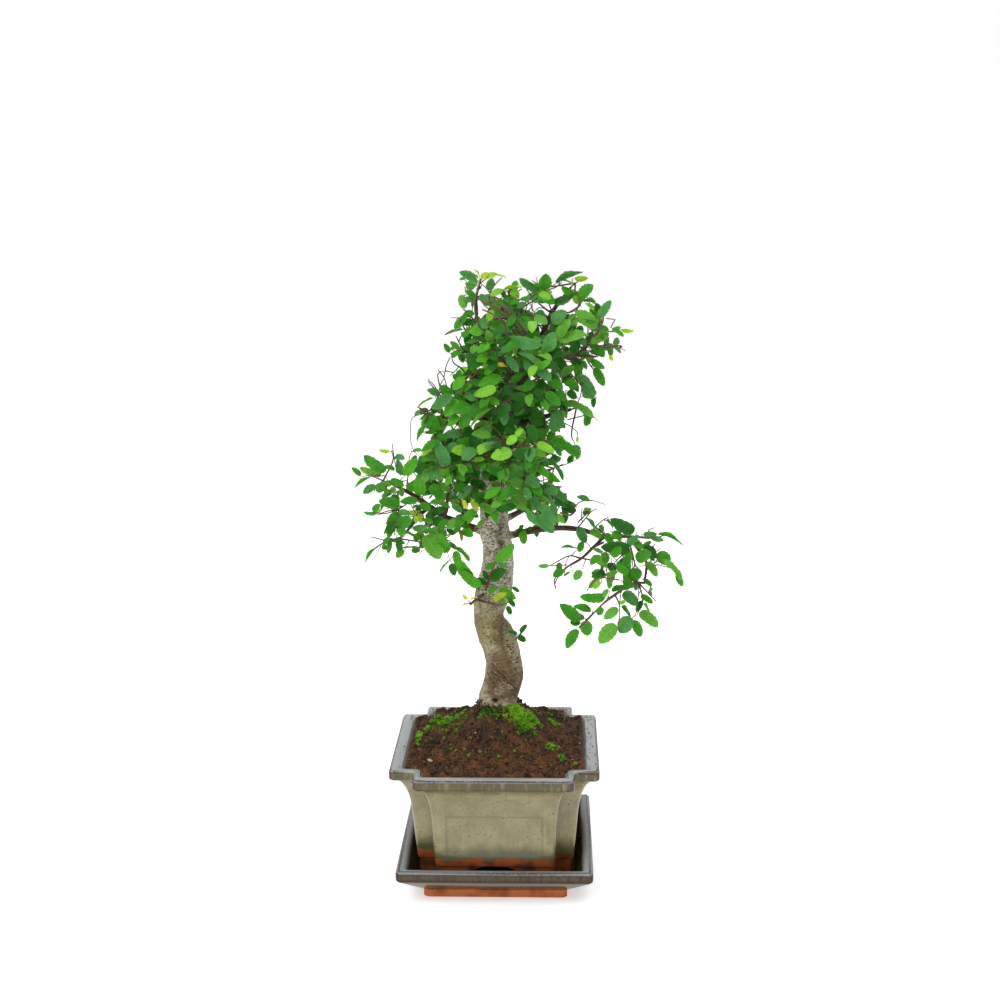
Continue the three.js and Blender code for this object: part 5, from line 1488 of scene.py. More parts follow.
@dataclass
class Saucer(Ware):
    """The square saucer on its low bare foot."""

    name: str = "glazed_saucer"
    levels: list[tuple[float, float, float]] = field(
        default_factory=lambda: [
            (0, 51.2, 0), (0.8, 52, 0), (6.4, 52, 0), (7.4, 53.6, 0), (19.6, 69.2, 0), (20.8, 70.2, 0),
            (22, 70.5, 0), (22.8, 70.5, 0), (25.7, 70.5, 0), (26.6, 70.5, 0), (27.6, 69.3, 0), (27.9, 68.4, 0),
            (28, 67.2, 0), (27.6, 64.8, 0), (26.4, 63.2, 0), (24, 62.2, 0), (14.5, 59, 0), (12.4, 57.6, 0),
            (12, 55.5, 0),
        ]
    )
    cells: int = 2
    corner: float = 2.6
    lip: float = 0.7
    rim: float = 20.5

    def build(self) -> bpy.types.Object:
        """Shapes and dresses the saucer."""
        piece = self.shape()
        glaze = CeladonGlaze(
            "saucer_glaze", clay_top=6.2, band=2.0, rim=self.rim, runs=0.4, wave=1.5, gloss=0.2,
            body="#3b3320", light="#473f28", deep="#342b20", rim_face="#50483a", sky_reflection="#9a9ea0",
            clay="#b5683c", clay_dark="#8f4a26",
        )
        self.finish(piece, [], glaze.material())
        settle(piece, "root", "saucer_glaze", "saucer")
        return piece


# Soil, crumbs and moss


def soil_height(x: float, y: float) -> float:
    """Height of the soil's surface at a point: a mound and a collar round the trunk, with lumps."""
    away = math.hypot(x - TRUNK_X, y - TRUNK_Y)
    mound = 21.5 * math.exp(-0.5 * (away / 31) ** 2) + 16.5 * math.exp(-0.5 * (away / 15) ** 2)
    lumps = math.sin(0.31 * x + 0.9) * math.sin(0.27 * y + 0.4) + 0.6 * math.sin(0.63 * x - 0.51 * y)
    return 96.6 + mound + 1.1 * lumps


def ground(x: float, y: float) -> float:
    """Height of the soil with its loose crumb on top."""
    rough = noise.fractal(Vector((x / 9, y / 9, 3.1)), 1.0, 2.1, 5)
    pits = noise.noise(Vector((x / 3.1, y / 3.1, 7.7)))
    heaped = 2.6 * max(0.0, (max(abs(x), abs(y)) - 47) / 16)
    return soil_height(x, y) + 1.9 * rough + 1.3 * pits + heaped


@dataclass
class Soil:
    """Dark fibrous peat mounded in the pot, with loose crumbs, fibres and dry bits on it.

    Args:
        half: half the width of its surface.
        notch: the step taken out of its corners.
        cells: how many cells its surface has along one side.
        depth: how far it reaches below the height of 96 millimetres.
        crumbs: how many loose crumbs are tried on its surface.
        edge_crumbs: how many lie along the pot's wall.
        collar_crumbs: how many are heaped round the trunk.
        fibres: how many fibres are tried.
        dark: its darkest colour.
        warm: its lightest.
    """

    half: float = 63.8
    notch: float = 13.2
    cells: int = 112
    depth: float = 12.0
    crumbs: int = 1900
    edge_crumbs: int = 260
    collar_crumbs: int = 420
    fibres: int = 2600
    dark: str = "#1b0f07"
    warm: str = "#693f1c"

    def build(self) -> bpy.types.Object:
        """Raises a grid to the mound's form, takes out the corners and closes it below."""
        deselect()
        side = 2 * self.half * MM
        bpy.ops.mesh.primitive_grid_add(x_subdivisions=self.cells, y_subdivisions=self.cells, size=side)
        piece = bpy.context.object
        piece.name = piece.data.name = "peat_soil"
        bpy.ops.object.mode_set(mode="EDIT")
        shape = bmesh.from_edit_mesh(piece.data)
        inner = (self.half - self.notch) * MM
        spots = [(face, face.calc_center_median()) for face in shape.faces]
        gone = [face for face, spot in spots if min(abs(spot.x), abs(spot.y)) > inner]
        bmesh.ops.delete(shape, geom=gone, context="FACES")
        for vertex in shape.verts:
            x, y = vertex.co.x / MM, vertex.co.y / MM
            vertex.co.z = ground(x, y) * MM
        for edge in shape.edges:
            edge.select = edge.is_boundary
        bmesh.update_edit_mesh(piece.data)
        bpy.ops.mesh.select_mode(type="EDGE")
        bpy.ops.mesh.extrude_edges_move()
        shape = bmesh.from_edit_mesh(piece.data)
        for vertex in [v for v in shape.verts if v.select]:
            vertex.co = (vertex.co.x * 0.93, vertex.co.y * 0.93, (96 - self.depth) * MM)
        bmesh.update_edit_mesh(piece.data)
        bpy.ops.mesh.edge_face_add()
        bpy.ops.mesh.select_all(action="SELECT")
        bpy.ops.mesh.normals_make_consistent(inside=False)
        bpy.ops.object.mode_set(mode="OBJECT")
        bpy.ops.object.shade_smooth()
        dark, warm = paints(self.dark, self.warm)
        colours = []
        for vertex in piece.data.vertices:
            mix = 0.5 + 1.1 * noise.noise(vertex.co * 110) + 0.6 * noise.noise(vertex.co * 400)
            near = math.hypot(vertex.co.x / MM - TRUNK_X, vertex.co.y / MM - TRUNK_Y)
            front = min(max(-vertex.co.y / MM / 60, 0), 1)
            share = min(max(mix * (0.55 + 0.6 * front) - max(0, 20 - near) / 40, 0), 1)
            colours.append(dark + (warm - dark) * share)
        tint = piece.data.attributes.new("tint", "FLOAT_COLOR", "POINT")
        tint.data.foreach_set("color", np.array(colours).ravel())
        piece.data.materials.append(TintedGrain("moist_peat", 1.1, 0.92, 0.7).material())
        settle(piece, "root", "soil", "soil")
        return piece

    def crumb(self) -> tuple[np.ndarray, list]:
        """One rough crumb, one millimetre across: a primitive ball with its corners pushed about."""
        deselect()
        bpy.ops.mesh.primitive_ico_sphere_add(subdivisions=1, radius=0.5)
        ball = bpy.context.object
        places = np.array([v.co[:] for v in ball.data.vertices])
        faces = [tuple(f.vertices) for f in ball.data.polygons]
        bpy.data.objects.remove(ball)
        return places * (0.75 + 0.5 * np.array([[draw(i, 3)] for i in range(len(places))])), faces

    def litter(self) -> bpy.types.Object:
        """Strews crumbs and short fibres over the soil, with a few crumbs on the rim."""
        rng = random.Random(7)
        pile = Pile()
        places, faces = self.crumb()
        tones = paints("#27160b", "#3d2613", "#55361b", "#1d1008", "#6a4826")

        def off(x: float, y: float) -> bool:
            """Whether a place lies outside the soil or in the trunk."""
            return min(abs(x), abs(y)) > 48.5 or math.hypot(x - TRUNK_X, y - TRUNK_Y) < 14

        def drop(x: float, y: float, size: float, tone: np.ndarray, height: float, flat: float = 0.7) -> None:
            """Lets one crumb fall at a place, turned any way."""
            angle = rng.uniform(0, 6.28)
            turn = np.array(Matrix.Rotation(angle, 3, Vector([rng.gauss(0, 1) for _ in range(3)])))
            squash = np.array((1, rng.uniform(0.6, 1), flat * rng.uniform(0.8, 1.2)))
            pile.put(places * squash @ turn.T * size + (x, y, height + 0.15 * size), faces, tone)

        for _ in range(self.crumbs):
            x, y = rng.uniform(-62, 62), rng.uniform(-62, 62)
            if not off(x, y):
                drop(x, y, rng.uniform(0.7, 1.7) ** 2, rng.choice(tones), ground(x, y))
        for _ in range(self.edge_crumbs):
            t, depth = rng.uniform(-48, 48), rng.uniform(58.5, 62)
            x, y = rng.choice(((t, -depth), (t, depth), (-depth, t), (depth, t)))
            drop(x, y, rng.uniform(0.8, 2.2), rng.choice(tones), ground(x, y) + 0.4)
        for _ in range(self.collar_crumbs):
            angle, away = rng.uniform(0, 6.28), rng.uniform(14.5, 18.5)
            x, y = TRUNK_X + away * math.cos(angle), TRUNK_Y + away * math.sin(angle)
            heap = 5.0 if 3.0 < angle < 4.9 else 2.0
            drop(x, y, rng.uniform(0.9, 2.3), rng.choice(tones), ground(x, y) + heap * rng.uniform(0, 1) ** 2)
        spots = [(rng.uniform(65.5, 73), rng.uniform(-46, 50)) for _ in range(34)]
        spots += [(rng.uniform(12, 50), rng.uniform(66, 73)) for _ in range(24)]
        spots += [(rng.uniform(-68, -66), rng.uniform(-30, 50)) for _ in range(6)]
        for x, y in spots:
            drop(x, y, rng.uniform(0.5, 1.2), rng.choice(tones), 100.2)
        fibres = paints("#6b4426", "#51331a", "#7c5836", "#37210f", "#86643f")
        for _ in range(self.fibres):
            x, y = rng.uniform(-61, 61), rng.uniform(-61, 61)
            if off(x, y):
                continue
            angle, long = rng.uniform(0, 6.28), rng.uniform(2, 6.5)
            dx, dy = long / 2 * math.cos(angle), long / 2 * math.sin(angle)
            lift = rng.uniform(-0.2, 0.5)
            ways = ((x - dx, y - dy, lift), (x, y, lift + 0.5), (x + dx, y + dy, lift))
            ends = [(a, b, ground(a, b) + rise) for a, b, rise in ways]
            way, skin = tube(Route(ends), [0.1, 0.17, 0.08], 3, long / 3)
            pile.put(way, skin, rng.choice(fibres))
        # A few dry bits that stand out: leaf scraps, seed husks and one round olive pellet
        bits = (
            # x, y, size, colour, how flat
            (-46.4, -37.2, 4.6, "#b09a8a", 0.25), (55.9, -34.9, 1.6, "#c9a83a", 0.5),
            (61.3, -6.2, 2.4, "#b8aa92", 0.4), (-10.5, -32.9, 3.0, "#6f7a3a", 1.0),
            (-15, -14, 2.2, "#a88074", 0.4), (-27, -42, 2.4, "#86705a", 0.3), (33, -47, 2.2, "#8a7458", 0.3),
            (8, -50, 1.8, "#7c5a40", 0.5), (-56, -20, 2.0, "#94806a", 0.4),
        )
        for x, y, size, code, flat in bits:
            drop(x, y, size, np.array(linear(code)), ground(x, y) + 0.5, flat)
        piece = pile.build("soil_litter", [TintedGrain("peat_crumb", 0.6, 0.9).material()])
        settle(piece, "root", "soil")
        return piece


@dataclass
class Moss:
    """Cushions of bright moss, each tuft a few short spikes."""

    patches: tuple = (
        # middle x, y, radius across, radius deep, tufts, brightness, height of the cushion
        (17, -2, 10.5, 7.5, 760, 0.8, 3.4), (27, 4, 6.5, 5.5, 260, 0.75, 2.2), (11, 4, 5, 5, 120, 0.6, 1),
        (20, -10, 9, 4, 90, 0.4, 0.5), (2, -4, 7, 4, 60, 0.4, 0.3), (-39, 23, 8, 5, 170, 0.75, 1.5),
        (-46, 35, 6, 6, 120, 0.7, 1), (-29, 18, 5, 4, 80, 0.6, 0.8), (-51, 14, 4, 5, 60, 0.6, 0.5),
        (-58, 4, 2.5, 7, 110, 0.95, 1), (-59, -8, 2, 4, 40, 0.8, 0.5), (-10, -4, 4, 2, 26, 0.6, 0.3),
        (-30, -6, 2, 1.5, 12, 0.7, 0.2), (-49, -9, 4, 2, 60, 0.15, 0.6), (43, 21, 5, 3, 70, 0.7, 0.8),
        (41, -20, 5, 4, 60, 0.7, 0.8), (48, -32, 4, 4, 30, 0.6, 0.3), (58, -44, 1.5, 1, 8, 0.8, 0.2),
        (-20, 44, 22, 8, 130, 0.6, 0.6), (30, 42, 18, 9, 120, 0.6, 0.6), (-12, -28, 34, 14, 36, 0.5, 0),
        (-30, 6, 16, 12, 60, 0.6, 0), (-7, -2, 6, 4, 90, 0.2, 1.6), (1, -4, 7, 3, 60, 0.35, 1.2),
    )

    def tuft(self) -> tuple[np.ndarray, list]:
        """One tuft, one millimetre high: a three-sided cone primitive copied leaning five ways."""
        deselect()
        bpy.ops.mesh.primitive_cone_add(vertices=3, radius1=0.13, depth=1.0, location=(0, 0, 0.5))
        cone = bpy.context.object
        places = np.array([(v.co + Vector((0, 0, 0.5)))[:] for v in cone.data.vertices])
        faces = [tuple(f.vertices) for f in cone.data.polygons]
        bpy.data.objects.remove(cone)
        shapes, skins = [], []
        for k in range(5):
            lean = np.array(Matrix.Rotation(k * 2.51, 3, "Z") @ Matrix.Rotation(0.25 + 0.28 * (k % 3), 3, "X"))
            shapes.append(places @ lean.T)
            skins.extend(tuple(i + k * len(places) for i in face) for face in faces)
        return np.concatenate(shapes), skins

    def build(self) -> bpy.types.Object:
        """Sets tufts over each patch, denser in its middle."""
        rng = random.Random(11)
        places, faces = self.tuft()
        pile = Pile()
        dull, bright, dark = paints("#4a840a", "#9ad424", "#1a340a")
        for x0, y0, wide, deep, tufts, glow, high in self.patches:
            for _ in range(tufts):
                x, y = rng.gauss(x0, wide / 2), rng.gauss(y0, deep / 2)
                away = math.hypot((x - x0) / wide, (y - y0) / deep)
                off = min(abs(x), abs(y)) > 47 or max(abs(x), abs(y)) > 62
                if off or math.hypot(x - TRUNK_X, y - TRUNK_Y) < 13.5 or away > 1.15:
                    continue
                size = rng.uniform(1.4, 2.8)
                turn = np.array(Matrix.Rotation(rng.uniform(0, 6.28), 3, "Z"))
                cushion = high * max(0.0, 1 - away**2)
                mix = min(max(rng.gauss(glow, 0.38), 0), 1)
                tint = dark + (dull - dark) * min(2 * mix, 1) + (bright - dull) * max(2 * mix - 1, 0)
                shade = 0.35 + 1.05 * np.clip(places[:, 2:], 0, 1)
                pile.put(places @ turn.T * size + (x, y, ground(x, y) - 0.3 + cushion), faces, tint[:3] * shade)
        piece = pile.build("moss", [TintedGrain("moss", 0.8, 0.8, 0.25).material()])
        settle(piece, "root", "leaves")
        return piece


# Wood


@dataclass
class Wood:
    """Trunk and boughs, grown as one piece.

    Args:
        voxel: the grain in which they are fused.
        trunk_sides: how many sides the trunk has before that.
        bough_sides: how many a bough has.
        trunk_step: the distance between the trunk's rings.
        bough_step: the distance between a bough's rings.
        folds: how far below the great fold each fold lies, with its depth and its width.
        seam: heights, and how far right the seam lies at each.
    """

    voxel: float = 0.75
    trunk_sides: int = 48
    bough_sides: int = 12
    trunk_step: float = 1.8
    bough_step: float = 2.5
    folds: tuple = (
        (0, 0.7, 1), (-3, 0.25, 0.6), (-7, 0.7, 0.8), (-9.5, 0.3, 0.6), (-14, 0.45, 0.7), (4.5, 0.3, 0.8),
    )
    seam: tuple = ((151, 159, 166, 174, 183, 191), (15.6, 12.4, 8.8, 5.9, 5.0, 5.3))

    def relief(self, angle: np.ndarray, z: float) -> np.ndarray:
        """Ridges that run up the trunk and turn with its height, as a factor on its radius."""
        flare = 0.1 * math.exp(-(((z - 118) / 9) ** 2)) * np.cos(3 * angle + 0.5)
        return 1 + flare + 0.045 * np.cos(2 * angle + z / 14) + 0.03 * np.cos(5 * angle - z / 8)

    def build(self) -> bpy.types.Object:
        """Fuses trunk and boughs, weathers them and gives them their bark."""
        pile = Pile()
        grey = np.ones(3)
        pile.put(*tube(*grown(TRUNK), self.trunk_sides, self.trunk_step, self.relief), grey)
        for bough in BOUGHS:
            route, radius = grown(bough)
            pile.put(*tube(route, [0.9 * r for r in radius], self.bough_sides, self.bough_step), grey)
        piece = pile.build("trunk_and_boughs", [])
        fuse = piece.modifiers.new("fuse", "REMESH")
        fuse.mode = "VOXEL"
        fuse.voxel_size = self.voxel * MM
        fuse.use_smooth_shade = True
        even = piece.modifiers.new("even", "SMOOTH")
        even.factor = 0.5
        even.iterations = 4
        apply_all(piece)
        self.weather(piece.data)
        piece.data.materials.clear()
        piece.data.materials.append(SmoothBark().material())
        settle(piece, "root", "bark", "trunk")
        return piece

    def off_trunk(self, place: np.ndarray) -> np.ndarray:
        """How far each point lies outside the smooth trunk, in millimetres."""
        route, radius = grown(TRUNK)
        away = np.full(len(place), 1e9)
        for share in np.linspace(0, 1, 240):
            apart = np.linalg.norm(place - route.point(share), axis=1)
            away = np.minimum(away, apart - radius_at(radius, share))
        return away

    def weather(self, mesh: bpy.types.Mesh) -> None:
        """Moves the skin for folds, pits and the knot hole, and writes the attributes of its colours.

        Args:
            mesh: the fused wood, in metres. Lengths below are millimetres, as everywhere in the tables.
        """
        place, normal = skin_of(mesh)
        place = place / MM
        x, y, z = place.T
        bough = np.maximum(ramp(self.off_trunk(place), 1.5, 4.5), ramp(z, 312, 334))
        stem = 1 - bough
        front = ramp(y, 12, 4) * stem
        # Noise of about 7, 12 and 2 mm
        lumps = np.array([noise.noise(Vector(p) / 7) + 0.5 * noise.noise(Vector(p) / 2.6) for p in place])
        broad = np.array([noise.noise(Vector(p) / 12) for p in place])
        grain = np.array([noise.noise(Vector(p) / 1.7) for p in place])
        # The long slanting fold in which the lower trunk turns under the upper, and finer ones below it
        down = z - (166 - 1.226 * (x + 6.8)) + 1.6 * lumps
        reach = ramp(x, -10, -6) * ramp(x, 17, 14) * front
        folds = sum(deep * bell(down, at, width) for at, deep, width in self.folds)
        folds = folds * reach * bell(z, 150, 22, 4) * np.clip(0.75 + 1.2 * broad, 0.2, 1.3)
        swell = bell(down, 5, 5) * reach
        # The knot hole, and the crook where the trunk turns back
        hole = bell(x, -1.4, 3) * bell(z, 131.5, 1.9) * (y < 12)
        crook = bell(x, 6, 3.2) * bell(z, 184, 9) * (y < 14)
        # The seam along which the right-hand stem leaves the left one, and the swelling right of it
        seam_x = np.interp(z, *self.seam)
        along = bell(z, 172, 21, 6) * front
        seam = bell(x, seam_x, 1.1) * along
        right = ramp(x, seam_x, seam_x + 2.5) * along
        shift = 0.4 * lumps * (1 - 0.6 * bough) - 2.0 * folds + 0.7 * swell
        shift = shift - 4.5 * hole - 1.0 * crook - 0.7 * seam + 0.9 * right
        mesh.vertices.foreach_set("co", ((place + normal * shift[:, None]) * MM).ravel())
        algae = bell(z, 184, 20) * (0.8 + 0.8 * lumps) * np.maximum(ramp(x, -16, -8), 0.2)
        # Brown where the two stems grind together, and down the left of the seam
        ground_in = 1.15 * bell(z, 149, 19, 4) * np.maximum(ramp(x, -12, -2), 0.25)
        streak = 0.95 * bell(x, seam_x - 3.5, 4.2) * bell(z, 180, 20, 4) * np.clip(seam_x + 0.5 - x, 0, 1)
        tan = (ground_in + streak) * (0.75 + 0.5 * broad + 0.6 * lumps + 0.7 * grain)
        silver = ramp(z, 206, 222) + right * ramp(z, 156, 164)
        # Painted shade on the right of the lower trunk, and a reddish patch at the crook
        rust_and_shade = 0.45 * bell(z, 142, 7) * bell(x, 11, 6) + 0.3 * bell(z, 180, 9) * bell(x, 6, 4)
        # Painted shade in the knot hole, the folds, the crook and the seam and at the foot, with a dark stain
        # under the crown
        stain = 0.8 * bell(x, 4.5, 2.6) * bell(z, 254, 22, 4) * np.clip(0.75 + 1.4 * lumps, 0, 1) * front
        foot = np.minimum(ramp(z, 131, 122), 0.85) * np.clip(0.55 + 1.3 * lumps, 0, 1)
        dark_shade_and_stain = np.clip(3.2 * hole - 0.9, 0, 1) + 1.9 * folds + 0.4 * crook + 0.25 * seam + foot + stain
        corky = np.clip(0.7 + (z - 200) / 25, 0.7, 1.0) + 0.4 * right + 0.3 * bell(z, 150, 10)
        write_marks(mesh, {
            "bough": bough,
            "silver": np.clip(silver, 0, 1) * stem,
            "corky": corky,
            "olive": np.clip(algae, 0, 0.85) * stem,
            "tan": np.clip(tan, 0, 0.95) * stem,
            "rust_and_shade": np.clip(rust_and_shade * (0.6 + grain), 0, 0.85) * stem,
            "shade_and_stain": np.clip(dark_shade_and_stain, 0, 1),
        })
        mesh.update()


# Foliage


class Tone(Enum):
    """The greens that the leaves take, as sRGB colours."""

    MID = "#2e780b"
    DEEP = "#195207"
    # A bluish grey-green that paints the sheen of a top-lit leaf
    COOL = "#3d7838"
    LIGHT = "#539129"
    BRIGHT = "#3f8e0a"
    FRESH = "#8fba1c"
    SPRING = "#6fae28"
    YELLOW = "#c6cc22"
    OLIVE = "#8a9a22"
    DEAD = "#86703a"


TONES = dict(zip("MDCLBFGYOX", Tone))


@dataclass
class Leaf:
    """One leaf: where it leaves its twig, which way it lies, its length, how wide it is and its colour."""

    base: np.ndarray
    along: np.ndarray
    normal: np.ndarray
    length: float
    wide: float
    bend: float
    tone: Tone


@dataclass
class Blade:
    """The toothed oval leaf that every leaf is a copy of, one unit long.

    Args:
        rows: share of the length and half width of each row of points, as a share of the length.
        tooth: how far every other point of the edge is drawn back, as a share of the width.
        fold: how steeply each half rises from the midrib.
        bow: how far the tip hangs.
        thick: thickness at the midrib; the edge is sharp.
    """

    rows: tuple = (
        (0.0, 0.02), (0.05, 0.13), (0.12, 0.21), (0.21, 0.262), (0.31, 0.29), (0.41, 0.302), (0.51, 0.302),
        (0.61, 0.292), (0.71, 0.268), (0.8, 0.228), (0.88, 0.172), (0.95, 0.1), (1.0, 0.015),
    )
    tooth: float = 0.08
    fold: float = 0.3
    bow: float = 0.14
    thick: float = 0.024

    def shape(self) -> tuple[np.ndarray, list, np.ndarray]:
        """Shapes a flat grid into the blade and closes it below.

        Returns:
            Its vertices, its faces and each vertex's place on its skin.
        """
        deselect()
        bpy.ops.mesh.primitive_grid_add(x_subdivisions=2, y_subdivisions=len(self.rows) - 1, size=2)
        piece = bpy.context.object
        for vertex in piece.data.vertices:
            row = round((vertex.co.y + 1) / 2 * (len(self.rows) - 1))
            side = round(vertex.co.x)
            share, half = self.rows[row]
            back = self.tooth if row % 2 else -0.3 * self.tooth
            forward = 0.035 if side and row % 2 == 0 else 0.0
            y = -side * half * (1 - back)
            vertex.co = (share + forward * (1 - share), y, self.fold * abs(y) - self.bow * share**2)
        bpy.ops.object.mode_set(mode="EDIT")
        bpy.ops.mesh.select_all(action="SELECT")
        bpy.ops.mesh.duplicate()
        bpy.ops.mesh.flip_normals()
        shape = bmesh.from_edit_mesh(piece.data)
        for vertex in shape.verts:
            if vertex.select and abs(vertex.co.y) < 1e-4 and 0.01 < vertex.co.x < 0.99:
                vertex.co.z -= self.thick
        bmesh.update_edit_mesh(piece.data)
        bpy.ops.mesh.select_all(action="SELECT")
        bpy.ops.mesh.remove_doubles(threshold=1e-5)
        bpy.ops.object.mode_set(mode="OBJECT")
        places = np.array([v.co[:] for v in piece.data.vertices])
        faces = [tuple(f.vertices) for f in piece.data.polygons]
        bpy.data.objects.remove(piece)
        skin = np.stack((0.5 + places[:, 1], places[:, 0]), axis=1)
        return places, faces, skin


def from_front(place: np.ndarray) -> np.ndarray:
    """Where a point shows when the tree is looked at from its front, in millimetres on the trunk's plane."""
    return np.array((44, 532)) + np.array((place[0] - 44, place[2] - 532)) * 1092 / (place[1] + 1080)


@dataclass
class Foliage:
    """All leafy sprays of the tree.

    Args:
        blade: vertices, faces and skin places of the leaf that is copied.
        face_up: how much a leaf's face turns up, against face_out.
        face_out: how much it turns away from the tree.
        spread: the angle between a leaf and its twig.
        droop: how much a leaf hangs.
        roll: how far a leaf turns about its own midrib, at most.
        varies: the spread of leaf lengths, as a share.
        first_leaf: the share of a shoot at which its leaves start.
        petiole: length of a leaf's stalk.
        twig_radius: radius at the foot of a shoot.
        small: the leaves' length as a share of their spray's usual length.
        margin: how deep in millimetres the outline of the foliage is ragged.
        ragged: the share of leaves left out there.
        trunk_twigs: how many short twigs grow off the upper trunk, inside the crown.
        bough_twigs: how many grow off each bough.
        lowest: the height at which they begin.
    """

    blade: tuple[np.ndarray, list, np.ndarray]
    face_up: float = 0.55
    face_out: float = 0.8
    spread: float = 0.95
    droop: float = 0.3
    roll: float = 0.6
    varies: float = 0.36
    first_leaf: float = 0.3
    petiole: float = 1.4
    twig_radius: float = 0.65
    small: float = 0.8
    margin: float = 9.0
    ragged: float = 0.35
    trunk_twigs: int = 38
    bough_twigs: int = 5
    lowest: float = 284.0

    def __post_init__(self) -> None:
        """Notes where the leaves that show in front are, so that no other leaf grows over them."""
        rows = [row for leaves in SEEN.values() for row in leaves]
        middles = [np.array((x + dx / 2, y, z + dz / 2)) for x, y, z, dx, dz, *_ in rows]
        self.front = np.array([from_front(p) for p in middles])
        self.depth = np.array([p[1] for p in middles])
        self.room = np.array([0.34 * math.hypot(row[3], row[4]) + 1.5 for row in rows])
        ways = [grown(bough)[0] for bough in BOUGHS]
        self.wood = np.array([way.point(k / 30) for way in ways for k in range(31)])
        self.edge = np.array(OUTLINE, float)
        self.openings = np.array(OPENINGS)
        self.low, self.high = np.array(cad_box) / MM + ((-2.5,), (2.5,))

    def outward(self, place: np.ndarray) -> np.ndarray:
        """The way that leaves at a place turn their faces: away from the crown's middle."""
        dx, dy = place[0] - TRUNK_X, place[1] - TRUNK_Y
        return unit(np.array((0.3 * dx, dy - 14, 0.0) if dy < 20 else (0.6 * dx, dy, 0.0)))

    def frame_at(self, route: Route, share: float) -> tuple[np.ndarray, ...]:
        """Place, direction, side direction and facing of a twig at a share of it."""
        middle, along = route.point(share), route.tangent(share)
        facing = self.face_up * UP + self.face_out * self.outward(middle)
        return middle, along, unit(np.cross(along, facing)), facing

    def tone(self, seed: int, choice: int, tip: bool) -> Tone:
        """Picks a leaf's green: new ones at the tips are often lighter."""
        pick = draw(seed + 900, choice)
        if tip and pick > 0.86:
            return Tone.SPRING
        shares = {Tone.MID: 0.36, Tone.DEEP: 0.58, Tone.COOL: 0.72, Tone.LIGHT: 0.85, Tone.BRIGHT: 0.97}
        return next((tone for tone, limit in shares.items() if pick < limit), Tone.SPRING)

    def leaf(self, route: Route, share: float, side: int, size: float, seed: int, choice: int) -> Leaf:
        """One leaf of a twig.

        Args:
            route: the twig's line.
            share: where along it the leaf grows.
            side: 1 right, -1 left or 0 for the leaf at its tip.
            size: the spray's usual leaf length.
            seed: the shoot's number.
            choice: the leaf's first draw of four.

        Returns:
            The leaf.
        """
        middle, twig_along, across, facing = self.frame_at(route, share)
        spread = self.spread * (0.8 + 0.4 * draw(seed, choice))
        along = twig_along * (math.cos(spread) if side else 1.0) + across * side * math.sin(spread)
        along = unit(along - UP * self.droop * draw(seed, choice + 1))
        normal = unit(facing - along * float(facing @ along))
        normal = turned(normal, along, self.roll * (2 * draw(seed, choice + 2) - 1))
        length = size * (1 - self.varies / 2 + self.varies * draw(seed, choice + 3))
        wide = 0.86 + 0.34 * draw(seed + 31, choice)
        bend = 0.3 * draw(seed + 57, choice) - 0.08
        return Leaf(middle, along, normal, length, wide, bend, self.tone(seed, choice, side == 0))

    def leaves_of(self, route: Route, count: int, size: float, seed: int) -> list[Leaf]:
        """A twig's leaves: one at its tip and the others in turn on either side, with smaller ones between."""
        leaves = []
        for i in range(count):
            side = 0 if i == 0 else 1 if i % 2 else -1
            share = 1 - (i / count) * (1 - self.first_leaf)
            leaves.append(self.leaf(route, share, side, size, seed, 4 * i))
            between = 1 - ((i + 0.5) / count) * (1 - self.first_leaf)
            leaves.append(self.leaf(route, between, -1 if i % 2 else 1, 0.72 * size, seed + 400, 4 * i))
        return leaves

    def twiglets(self, route: Route, plan: SprayPlan, seed: int) -> list[tuple[Route, list[Leaf]]]:
        """Short side twigs that fill the spray, with leaves of their own."""
        made = []
        many = plan.fill + (2 if plan.fill > 1 and "right" not in plan.name else 0)
        for j in range(many):
            share = 0.15 + 0.72 * (j + draw(seed, 200 + j)) / many
            middle, along, across, facing = self.frame_at(route, share)
            side = 1 if (j + seed) % 2 else -1
            out = np.cross(across, along)
            way = along * 0.7 + across * side * (0.5 + 0.5 * draw(seed, 210 + j))
            way = unit(way + out * (1.1 * draw(seed, 220 + j) - 0.35)) * (11 + 10 * draw(seed, 230 + j))
            bow = np.array([draw(seed, 240 + j), draw(seed, 250 + j), draw(seed, 260 + j)]) - (0.5, 0.5, 0.3)
            twig = Route([middle, middle + way * 0.5 + bow * 3.5, middle + way - UP * 1.5])
            count = 2 + int(2.6 * draw(seed, 270 + j))
            made.append((twig, self.leaves_of(twig, count, 0.7 * plan.leaf, seed + 1000 + 10 * j)))
        return made

    def inside(self, place: np.ndarray) -> bool:
        """Whether a point lies in the outline of the foliage and in the box of the solids."""
        x, z = from_front(place)
        a, b = self.edge, np.roll(self.edge, -1, axis=0)
        spans = (a[:, 1] > z) != (b[:, 1] > z)
        at = a[:, 0] + (z - a[:, 1]) * (b[:, 0] - a[:, 0]) / np.where(spans, b[:, 1] - a[:, 1], 1.0)
        crossings = int((spans & (x < at)).sum())
        return crossings % 2 == 1 and bool(((place > self.low) & (place < self.high)).all())

